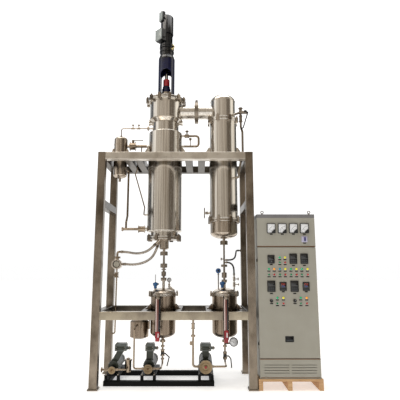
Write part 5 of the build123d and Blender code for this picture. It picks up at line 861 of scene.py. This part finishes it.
for offset, needle in zip(meter["offsets"], meter["needles"]):
    place = frontPlace(offset, meter["height"])
    addTurned(shape, blackPlastic, place, body, 32)
    addRings(shape, blackPlastic, place, rings, looped=True)
    addPlate(shape, dialWhite, place, width - 11.6, rise - 11.6, 0.5, card, 3, 0.2)
    for mark in range(13):
        start = onCircle(50 if mark % 3 else 46, 90 + 90 * mark / 12, *pivot)
        end = onCircle(scale, 90 + 90 * mark / 12, *pivot)
        addStroke(shape, inkBlack, place, start, end, 1.2, card, card + 0.15)
    for mark in range(18):
        ends = [onCircle(scale, 90 + 5 * (mark + step), *pivot) for step in (0, 1)]
        addStroke(shape, inkBlack, place, *ends, 1.0, card, card + 0.15)
    end = onCircle(scale - 2, needle, *pivot)
    addStroke(shape, inkBlack, place, pivot, end, 2.2, card + 0.6, card + 1.2, tip=0.8)
    addRings(shape, blackPlastic, place, [[(x, y, z) for x, y in pivotCover] for z in (card, front - 0.6)])
    addTurned(shape, keyPlastic, place, [(5, front - 1), (5, front - 0.2), (4, front)], 16, x=26, y=-32)
finishShape(shape, "switchboardMeters", "frame", "panel_meters")

# Blank labels under the meters, and the main switch: lilac plate and disc with a dark blue grip
switch = {"x": 189.0, "z": 1470.0, "plate": 62, "disc": 28.0, "shaft": 6.0, "grip": (13.0, 48.0)}
shape = newShape()
for offset in meter["offsets"]:
    addLabel(shape, frontPlace(offset, meter["height"] - 61), 30, 12)
addLabel(shape, frontPlace(switch["x"], switch["z"] - 40), 32, 12)
place = frontPlace(switch["x"], switch["z"])
addPlate(shape, lilacPlastic, place, switch["plate"], switch["plate"], 0.05, 0.9, 6, 0.3)
finishShape(shape, "meterLabels", "frame")
shape = newShape()
disc = switch["disc"]
addTurned(shape, boltSteel, place, [(switch["shaft"], -20), (switch["shaft"], 1.2)], 16)
addTurned(shape, lilacPlastic, place, [(disc, 1.1), (disc, 11), (disc - 2, 13), (disc * 0.4, 13)], 36)
addPlate(shape, gripPlastic, place, *switch["grip"], 12.9, 30, 5, 3)
addStroke(shape, dialWhite, place, (0, 14), (0, 22), 2.4, 29.9, 30.2)
finishShape(shape, "mainSwitchKnob", "main_switch", "main_switch")

# White mark on each speed knob
for number, (offset, height) in enumerate(knobSpots, 1):
    shape = newShape()
    addStroke(shape, dialWhite, frontPlace(offset, height), (0, 3), (0, 11.5), 1.8, 19.9, 20.3)
    finishShape(shape, f"knobMark{number}", f"speed_knob_{number}")

# Brown strips along the cabinet's joints, which paint the shadow gap there and its reflection, and the strip
# with two screws above the pallet
strips = {"joints": (1396.0, 291.0), "rise": 7.5, "thick": 1.2, "foot": 118.0, "screws": (-240, 262)}
shape = newShape()
for height in strips["joints"]:
    addPlate(shape, brownTrimAndShadowGap, frontPlace(0, height), 598, strips["rise"], 0.05, strips["thick"], 1, 0.3)
finishShape(shape, "jointShadowGapStrips", "frame")
shape = newShape()
addPlate(shape, brownTrimAndShadowGap, frontPlace(0, strips["foot"]), 584, 5, 0.05, 1.6, 1, 0.3)
finishShape(shape, "footStrip", "frame")
footScrews = [(onPanel(x, -1.6, strips["foot"]), toFront) for x in strips["screws"]]
boltField("footScrews", footScrews, 10.0, 4.0, 8.0, fittingSteel)
print("cabinet's front made")

# Level gauges: strips side by side on a dark back plate, the black one painted shadow, held by a block at
# each end
levelGauges = {
    "front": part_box("gauges")[0].y,
    "deep": 47.5,
    "top": 930.0,
    "lower": (
        {"axis": evaporatorX - 18 * mm, "low": 467.0, "red": 560.0},
        {"axis": condenserX - 9 * mm, "low": 454.0, "red": 572.0},
    ),
    "nozzles": (860.0, 560.0),
    # The black strip at the right is painted shadow beside the glass
    "strips": ((-14.5, 10.6, -1, stripPink), (-0.5, 17.2, -3.5, tubeBrown), (14, 12, -1, blackEnamel)),
    "boltGap": 62,
}
shape = newShape()
gaugeBolts = []
deep, top = levelGauges["deep"], levelGauges["top"]
for gauge in levelGauges["lower"]:
    low, red = gauge["low"], gauge["red"]
    place = facing((gauge["axis"], levelGauges["front"], 0))
    addPlate(shape, railEnamel, place, 52, top - low - 60, 4 - deep, -8, 3, y=(low + top) / 2)
    stripTop = top - 58
    for x, width, high, finish in levelGauges["strips"]:
        stripY = (red + stripTop) / 2
        addPlate(shape, finish, place, width, stripTop - red, -8.2, high, 1.2, 0.6, x, stripY)
    addPlate(shape, fittingSteel, place, 40, 26, -deep, 0, 4, 1.5, y=top - 13)
    addPlate(shape, fittingSteel, place, 34, 40, -9, -1.5, 4, 1.5, y=top - 42)
    addPlate(shape, redEnamel, place, 40, red - low, -8.4, -0.8, 3, 1, y=(red + low) / 2)
    addPlate(shape, fittingSteel, place, 40, 30, -deep, -8, 4, 1.5, y=low + 15)
    markY = low + (red - low) * 0.62
    addPlate(shape, dialWhite, place, 9, (red - low) * 0.4, -0.9, -0.1, 1, 0.3, 7, markY)
    for height in levelGauges["nozzles"]:
        addTurned(shape, fittingSteel, place, [(17, -deep), (17, 6 - deep)], 24, y=height)
    boltRun = top - low - 110
    steps = int(boltRun / levelGauges["boltGap"])
    for step, side in product(range(steps + 1), bothSides):
        spot = Vector((side * 22.8, low + 55 + step * boltRun / steps, -8)) * mm
        gaugeBolts.append((place @ spot, toFront))
finishShape(shape, "levelGauges", "frame", "gauges")
boltField("gaugeBolts", gaugeBolts, 4.6, 3.0, 2.6, boltSteel)

# Level heads on the lids: blue funnel-shaped housings, the left one with a rod beside it
levelHeads = (
    {"x": evaporatorX - 83 * mm, "z": 958.0, "rod": 86.0},
    {"x": condenserX - 26 * mm, "z": 966.0, "rod": 0.0},
)
headProfile = [(18, 0), (18, 7), (15.5, 9), (15.5, 20), (20, 26), (26.6, 36), (26.6, 56)]
headProfile += [(24, 60), (9, 62), (9, 68)]
shape = newShape()
for head in levelHeads:
    foot, rod = Vector((head["x"], frameY - 60 * mm, head["z"] * mm)), head["rod"]
    addTurned(shape, headEnamel, facing(foot, up), headProfile, 30)
    if rod:
        addTurned(shape, fittingSteel, facing(foot, up), [(3.2, 60), (3.2, 60 + rod), (1.5, 62 + rod)], 12)
    gland = facing(foot + Vector((20, 0, 46)) * mm, (1, 0, 0))
    addTurned(shape, blackPlastic, gland, [(8, 0), (8, 13), (5.5, 17), (5.5, 20)], 16)

# Round level switch on the right lid: a blue case on a thin stem
dial = Vector((condenserX - 67 * mm, frameY - 40 * mm, 1145 * mm))
stem = [(6, 0), (6, 150), (9, 152), (9, 164), (6, 166), (6, 169.5)]
ball = [(14, -31), (23, -27), (28, -19), (28, -12), (23, -4), (12, 0.5), (6, 0.8)]
addTurned(shape, fittingSteel, facing((dial.x, dial.y, 948.5 * mm), up), stem, 16)
dialPlace = facing((dial.x, dial.y - 15 * mm, dial.z))
addTurned(shape, headEnamel, dialPlace, ball, 30)
addTurned(shape, keyPlastic, dialPlace, [(11, 0.2), (11, 1.0), (9, 1.0), (9, 0.8)], 24)
finishShape(shape, "headsAndDial", "frame")


# Round dial: case behind, bezel in front of the card, scale marks and a needle
def addDial(shape, place, radius, deep, case, needle):
    body = [(radius * 0.9, -deep), (radius, -deep + 2), (radius, -0.3), (radius - 0.8, 1.2)]
    body += [(radius * 0.9, 1.2), (radius * 0.88, -1)]
    addTurned(shape, case, place, body, 36)
    addTurned(shape, dialWhite, place, [(radius * 0.89, -1.2), (radius * 0.89, -0.6)], 36)
    for mark in range(11):
        ends = [onCircle(radius * share, 225 - 27 * mark) for share in (0.66, 0.8)]
        addStroke(shape, inkBlack, place, *ends, radius * 0.04, -0.6, -0.45)
    ends = [onCircle(radius * share, 225 - needle) for share in (-0.16, 0.72)]
    addStroke(shape, inkBlack, place, *ends, radius * 0.07, -0.4, 0.1, tip=radius * 0.03)
    addTurned(shape, inkBlack, place, [(radius * 0.09, -0.5), (radius * 0.07, 0.4)], 16)


# Faces of the dials that the lids and the pump lines carry, set on their round cases
smallDials = (
    (Vector((evaporatorX + 56 * mm, frameY + 62 * mm, 1044 * mm)), 24.6, 5, 110, fittingSteel),
    (Vector((condenserX + 86 * mm, frameY - 120 * mm, 412 * mm)), 45.8, 6, 60, blackEnamel),
)
shape = newShape()
for centre, radius, deep, needle, case in smallDials:
    addDial(shape, facing(centre + toFront * 1.6 * mm), radius, deep, case, needle)
finishShape(shape, "smallDialFaces", "frame")
print("gauges made")

# Flow sight glass: pale flange ring with bolts, dark joint ring, and glass painted pale as painted light of
# the lit bore behind
sight = {"middle": (-703.0, 190.0, 1218.0), "recess": 40.0, "deep": 15, "flange": 58.0, "bolts": 49.5}
sightCentre = at(*sight["middle"])


# Sight glass: pane in the recess, dark joint round it, the flange's ring, and the pipe behind
def sightFinish(point):
    away = math.hypot(point.x - sightCentre.x, point.z - sightCentre.z) / mm
    shallow = (point.y - sightCentre.y) / mm < sight["deep"]
    if away < sight["recess"] - 0.6 and shallow:
        return 1
    if away < sight["recess"] + 0.6 and shallow:
        return 2
    return 0 if away < sight["flange"] + 1 else 3


sightFinishes = [flangeSteel, sightGlass, blackRubber, pipeSteel]
dressedCopy("sightGlassFitting", "flow_sight_glass", "frame", sightFinishes, sightFinish)
shape = newShape()
sightPlace = facing(sightCentre)
addTurned(shape, blackRubber, sightPlace, [(39.6, -6), (39.6, -1), (35, -1), (33, -5.9)], 44, looped=True)
addTurned(shape, flangeSteel, sightPlace, [(57, 0.1), (57, 1.6), (43, 1.6), (41.5, 0.1)], 44, looped=True)
finishShape(shape, "sightGlassRings", "frame")
spots = []
for number in range(4):
    spot = Vector((*onCircle(sight["bolts"], 45 + 90 * number), 1.6)) * mm
    spots.append((sightPlace @ spot, toFront))
boltField("sightGlassBolts", spots, 9.0, 5.0, 6.5, boltSteel)

# Pump covers: a stepped steel disc on each head, a cap at its middle and a rim round it
pumpHeads = {"front": frameY - 232 * mm, "plateTop": 108.0, "lift": 14.0}
coverSteps = ((0.66, -0.2), (0.66, 2.6), (0.62, 3.4), (0.5, 3.4))  # share of the radius, and rise
coverSteps += ((0.46, 1.6), (0.34, 1.6), (0.3, 4.4), (0.12, 4.8))
shape = newShape()
for axis, radius, cap in zip(pumpAxes, pumpRadii, (brownTrimAndShadowGap, brownTrimAndShadowGap, redEnamel)):
    place = facing((axis, pumpHeads["front"], (pumpHeads["plateTop"] + radius + pumpHeads["lift"]) * mm))
    addTurned(shape, coverSteel, place, [(radius * share, out) for share, out in coverSteps], 44)
    addTurned(shape, cap, place, [(radius * 0.19, 4.2), (radius * 0.19, 6.8), (radius * 0.12, 7.8)], 24)
    rim = [(radius + 0.8, -7.5), (radius + 0.8, 0), (radius - 0.5, 1.5), (radius - 0.5, -9.0)]
    addTurned(shape, fittingSteel, place, rim, 44, looped=True)
finishShape(shape, "pumpCoverDiscs", "frame")

# Lids, front plates and glands of the pumps' terminal boxes, by place along the rail and half length
terminalBoxes = {"along": ((-568, 62), (-262, 48), (320, 58)), "y": -70, "front": -125, "top": 392}
shape = newShape()
boxScrews = []
boxY, frontY, boxTop = (terminalBoxes[key] for key in ("y", "front", "top"))
boxZ = boxTop - 42
for x, half in terminalBoxes["along"]:
    addPlate(shape, boxEnamel, facing(at(x, boxY, boxTop), up), 2 * half - 22, 88, -0.2, 3, 12, 1.5)
    addPlate(shape, pumpEnamel, facing(at(x, frontY, boxZ)), 2 * half - 26, 40, -0.2, 2.4, 6, 1.0)
    joint = facing(at(x, boxY, boxTop - 12.5), up)
    addPlate(shape, boxEnamel, joint, 2 * half + 3, 113, -1.5, 1.5, 17, 0.6)
    nut = facing(at(x + half + 33, boxY, boxZ - 5), (1, 0, 0))
    addTurned(shape, boltSteel, nut, [(18, -14), (18, -4), (13, 0), (9, 1), (9, 6)], 6)
    for across, along in fourCorners:
        boxScrews.append((at(x + across * (half - 15), boxY + along * 40, boxTop), up))
        boxScrews.append((at(x + across * (half - 19), frontY - 2.4, boxZ + along * 13), toFront))
finishShape(shape, "pumpBoxLids", "frame")
boltField("pumpBoxScrews", boxScrews, 6.0, 3.0, 4.4, boltSteel)
print("sight glass and pump covers made")

# Control gear behind the door: galvanised plate, dark drives with keypads, grey breakers with toggles
gear = {
    "plate": panelFront + 368 * mm,
    "drives": (-190.0, -65.0, 60.0, 185.0),
    "driveFoot": 1060,
    "driveMiddle": 1185,
    "driveDepth": 130,
    "rails": (980.0, 800.0, 620.0),
    "breakers": 9,
    "firstBreaker": -207,
    "breakerGap": 50,
    "breakerDepth": 70,
}


# Control gear: the plate, the drives in the upper row and the breakers below them
def gearFinish(point):
    if point.y > gear["plate"] - 0.4 * mm:
        return 0
    return 1 if point.z > gear["driveFoot"] * mm else 2


gearFinishes = [fittingSteel, blackPlastic, greyPlastic]
dressedCopy("gearPlateAndGear", "control_gear", "frame", gearFinishes, gearFinish)
shape = newShape()
driveY, breakerY = (gear["plate"] - gear[key] * mm for key in ("driveDepth", "breakerDepth"))
for offset in gear["drives"]:
    place = facing((cabinetX + offset * mm, driveY, gear["driveMiddle"] * mm))
    addPlate(shape, greyPlastic, place, 62, 74, -0.2, 4, 4, 1.5, y=34)
    addPlate(shape, windowGlass, place, 46, 22, 3.9, 4.4, 2, 0.3, y=52)
    for x in (-16, 2):
        addPlate(shape, keyPlastic, place, 14, 10, 3.9, 5.4, 2, 0.5, x=x, y=22)
    addTurned(shape, keyPlastic, place, [(7, 3.8), (7, 6), (5.5, 6.6)], 18, x=20, y=22)
    for slot in range(5):
        addPlate(shape, inkBlack, place, 60, 3, -0.2, 0.3, 1, 0.1, y=-70 + slot * 9)
for height, column in product(gear["rails"], range(gear["breakers"])):
    x = cabinetX + (gear["firstBreaker"] + column * gear["breakerGap"]) * mm
    place = facing((x, breakerY, height * mm))
    addPlate(shape, dialWhite, place, 30, 34, -0.2, 0.8, 1.5, 0.3)
    addPlate(shape, blackPlastic, place, 12, 16, 0.7, 9, 2, 1.5)
finishShape(shape, "gearFronts", "frame")
print("control gear dressed")


# Timber sawn from one board after another: long grain, pores and a few darker knots
def sawnTimber(name):
    material, tree, shader, place = startMaterial(name, "#c9a273", roughness=0.72)
    grain = stretchedNoise(tree, place, (160.0, 5.0, 5.0), 4.0, 0.6)
    knots = stretchedNoise(tree, place, (70.0, 26.0, 40.0), 2.0)
    mixed = addNode(tree, "ShaderNodeMix", data_type="RGBA", blend_type="MULTIPLY")
    mixed.inputs["Factor"].default_value = 0.7
    tree.links.new(colourBetween(tree, grain, "#a9784b", "#e0c094", 0.3, 0.7), mixed.inputs["A"])
    tree.links.new(colourBetween(tree, knots, "#5f3a1e", "#ffffff", 0.2, 0.34), mixed.inputs["B"])
    tree.links.new(mixed.outputs["Result"], shader.inputs["Base Color"])
    addBump(tree, shader, grain, 0.5, 0.6)
    return material


giveFinish(sawnTimber("SawnSoftwood"), "cabinet_pallet")


# Steel braid over a corrugated hose: ridges round it and a crossed weave, drawn coarser than the
# real 0.3 mm wires so that it shows
def braidedSteel(name, pitch=5.0):
    material, tree, shader, place = startMaterial(name, "#b3a593", metallic=1.0, roughness=0.34)
    values = {"Scale": 1000 / pitch / 6.3, "Distortion": 0.6, "Detail": 1.0}
    bands = {"wave_type": "BANDS", "bands_direction": "DIAGONAL"}
    ripple = addNode(tree, "ShaderNodeTexWave", values, {"Vector": place}, **bands).outputs["Fac"]
    weave = stretchedNoise(tree, place, (2.4, 2.4, 2.4), 2.0)
    tree.links.new(colourBetween(tree, ripple, "#8d8378", "#b9b0a5", 0.1, 0.8), shader.inputs["Base Color"])
    addBump(tree, shader, weave, 0.5, 0.6)
    return material


hoseBraid = braidedSteel("BraidedHoseSteel")


# Hose along its route's points, as one smooth curve
def hoseCurve(name, points, diameter, finish):
    curve = bpy.data.curves.new(name, "CURVE")
    curve.dimensions = "3D"
    curve.bevel_depth = diameter / 2
    curve.bevel_resolution = 6
    curve.resolution_u = 14
    curve.use_fill_caps = True
    spline = curve.splines.new("NURBS")
    spline.points.add(len(points) - 1)
    for target, point in zip(spline.points, points):
        target.co = (*point, 1.0)
    spline.order_u = 3
    spline.use_endpoint_u = True
    curve.materials.append(finish)
    piece = bpy.data.objects.new(name, curve)
    bpy.context.scene.collection.objects.link(piece)
    return piece


# The four hoses, by their route in millimetres: both metal ones carry residue, the black ones go to
# the vent and the receiver
metalHose = {"diameter": 28 * mm, "stiffness": "stiff", "finish": hoseBraid}
blackHose = {"diameter": 18 * mm, "stiffness": "medium", "finish": blackRubber}
hoses = {
    "upperMetalHose": {
        **metalHose,
        "node": "upper_hose",
        "length": 0.561,
        "route": (
            (-227, -30, 1440), (-262, -30, 1405), (-306, -16, 1370), (-352, 12, 1350),
            (-402, 56, 1340), (-456, 112, 1338), (-510, 168, 1343), (-563, 213, 1353),
            (-622, 233.25, 1360), (-664, 233.25, 1360),
        ),
    },
    "lowerMetalHose": {
        **metalHose,
        "node": "lower_hose",
        "length": 0.564,
        "route": (
            (-211, 35, 1426), (-226, 35, 1386), (-246, 48, 1340), (-281, 76, 1291),
            (-338, 112, 1252), (-410, 152, 1226), (-482, 192, 1215), (-544, 222, 1213),
            (-588, 233.25, 1218), (-631, 233.25, 1218),
        ),
    },
    "ventHose": {
        **blackHose,
        "node": "vent_hose",
        "length": 0.405,
        "route": (
            (547, 0, 1262), (582, 0, 1262), (616, 14, 1266), (641, 48, 1278),
            (658, 94, 1296), (668, 142, 1316), (676, 190, 1340), (683, 234, 1364),
            (694, 272, 1378), (722, 300, 1378),
        ),
    },
    "receiverHose": {
        **blackHose,
        "node": "receiver_hose",
        "length": 0.197,
        "route": (
            (547, 0, 1236), (577, 0, 1236), (604, 0, 1225), (624, 0, 1204),
            (634, 0, 1176), (637, 0, 1140), (637, 0, 1096),
        ),
    },
}
sleeves = newShape()
for name, hose in hoses.items():
    points = [at(*spot) for spot in hose["route"]]
    piece = hoseCurve(name, points, hose["diameter"], hose["finish"])
    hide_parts(hose["node"])
    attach(piece, "frame")
    # Crimped sleeve at each end
    radius = hose["diameter"] / 2 / mm
    outer, length = radius + 2.6, radius * 2.2
    profile = [(radius + 0.4, 0), (outer, 1), (outer, length - 3), (outer - 1.2, length)]
    profile += [(radius + 0.2, length)]
    for end, inner in ((points[0], points[1]), (points[-1], points[-2])):
        addTurned(sleeves, fittingSteel, facing(end, inner - end), profile, 26, looped=True)
finishShape(sleeves, "hoseSleeves", "frame")
print("hoses laid:", len(hoses))

# Floor: a pale sheet of studio paper, which glows a little so that it stays white all over
floorSizes = {"half": 30.0, "drop": 0.002, "glow": 0.48}
half, height = floorSizes["half"], -floorSizes["drop"]
floorMesh = bpy.data.meshes.new("StudioFloor")
corners = [(-half, -half, height), (half, -half, height), (half, half, height), (-half, half, height)]
floorMesh.from_pydata(corners, [], [(0, 1, 2, 3)])
floorPaper, floorTree, floorShader, floorPlace = startMaterial("PaleFloorPaper", "#f3f2f0", roughness=0.85)
floorPatches = stretchedNoise(floorTree, floorPlace, (900, 900, 900), 2.0)
floorColour = colourBetween(floorTree, floorPatches, "#f0efed", "#f5f4f2")
floorTree.links.new(floorColour, floorShader.inputs["Base Color"])
floorShader.inputs["Emission Strength"].default_value = floorSizes["glow"]
floorShader.inputs["Emission Color"].default_value = hexColour("#ffffff")
floorMesh.materials.append(floorPaper)
studioFloor = bpy.data.objects.new("StudioFloor", floorMesh)
bpy.context.scene.collection.objects.link(studioFloor)


# Square soft box, aimed at a point
def softBox(name, place, target, side, power, colour="#ffffff"):
    light = bpy.data.lights.new(name, "AREA")
    light.shape = "RECTANGLE"
    light.size, light.size_y = side, side
    light.energy = power
    light.color = hexColour(colour)[:3]
    lamp = bpy.data.objects.new(name, light)
    lamp.location = place
    lamp.rotation_euler = (Vector(target) - Vector(place)).to_track_quat("-Z", "Y").to_euler()
    bpy.context.scene.collection.objects.link(lamp)


softBox("KeySoftBox", (-2.2, -1.4, 6.4), (0, 0, 1.6), 2.4, 90, "#fff8f0")
softBox("TopSoftBox", (0.6, -0.5, 6.8), (0, 0, 1.5), 3.2, 90)

# Studio surroundings by compass angle from the camera's side: white walls, dark flags and grey
# panels stand round the object and give the upright bands on the round steel
panelsRound = (
    (-180, "#ffffff"), (-152, "#ffffff"), (-142, "#c3c8cd"), (-126, "#a9afb5"), (-113, "#46494e"),
    (-99, "#404246"), (-87, "#f2f1ef"), (-68, "#ece8e2"), (-56, "#b3aca2"), (-20, "#a9a196"),
    (22, "#a49b8f"), (33, "#696157"), (66, "#5f574d"), (78, "#f3efe6"), (102, "#e9e3d8"),
    (114, "#464644"), (143, "#4f5052"), (151, "#ffffff"), (180, "#ffffff"),
)
world = bpy.data.worlds.new("SoftStudio")
bpy.context.scene.world = world
world.use_nodes = True
worldTree = world.node_tree
worldTree.nodes.clear()
direction = addNode(worldTree, "ShaderNodeTexCoord").outputs["Generated"]
parts = addNode(worldTree, "ShaderNodeSeparateXYZ", links={0: direction}).outputs
toCamera = addNode(worldTree, "ShaderNodeMath", {1: -1.0}, {0: parts["Y"]}, operation="MULTIPLY").outputs[0]
sides = {0: parts["X"], 1: toCamera}
compass = addNode(worldTree, "ShaderNodeMath", links=sides, operation="ARCTAN2").outputs[0]
turnRange = {"From Min": -math.pi, "From Max": math.pi}
turnLevel = addNode(worldTree, "ShaderNodeMapRange", turnRange, {"Value": compass}).outputs["Result"]
bands = addNode(worldTree, "ShaderNodeValToRGB", links={"Fac": turnLevel})
ramp = bands.color_ramp
for element, (angle, code) in zip(ramp.elements, (panelsRound[0], panelsRound[-1])):
    element.position, element.color = 0.5 + angle / 360, hexColour(code)
for angle, code in panelsRound[1:-1]:
    ramp.elements.new(0.5 + angle / 360).color = hexColour(code)
ceilingRange = {"From Min": 0.72, "From Max": 0.9}
ceiling = addNode(worldTree, "ShaderNodeMapRange", ceilingRange, {"Value": parts["Z"]}).outputs["Result"]
# The camera itself sees a plain white backdrop; the bands show only as reflections and light
seenDirectly = addNode(worldTree, "ShaderNodeLightPath").outputs["Is Camera Ray"]
shown = bands.outputs["Color"]
for factor, code in ((ceiling, "#a9a7a3"), (seenDirectly, "#ffffff")):
    mixed = addNode(worldTree, "ShaderNodeMix", data_type="RGBA")
    worldTree.links.new(factor, mixed.inputs["Factor"])
    worldTree.links.new(shown, mixed.inputs["A"])
    mixed.inputs["B"].default_value = hexColour(code)
    shown = mixed.outputs["Result"]
riseRange = {"From Min": 0.0, "From Max": 0.36, "To Min": 1.0, "To Max": 1.4}
strength = addNode(worldTree, "ShaderNodeMapRange", riseRange, {"Value": parts["Z"]}).outputs["Result"]
glow = addNode(worldTree, "ShaderNodeBackground", links={"Color": shown, "Strength": strength})
addNode(worldTree, "ShaderNodeOutputWorld", links={"Surface": glow.outputs[0]})
bpy.context.scene.view_settings.view_transform = "Standard"

# Camera at the photograph's place: low, level and straight in front, tilted up a little
cameraPlace = {"spot": (-0.0542, -4.50425, 1.195), "tilt": 9.3, "focalPixels": 404.0, "pictureWidth": 400.0}
cameraData = bpy.data.cameras.new("StudioCamera")
cameraData.sensor_width = 36.0
cameraData.lens = cameraData.sensor_width * cameraPlace["focalPixels"] / cameraPlace["pictureWidth"]
cameraData.clip_end = 200.0
camera = bpy.data.objects.new("StudioCamera", cameraData)
camera.location = cameraPlace["spot"]
camera.rotation_euler = (math.radians(90 + cameraPlace["tilt"]), 0, 0)
bpy.context.scene.collection.objects.link(camera)
bpy.context.scene.camera = camera
print("stage, lights and camera set")
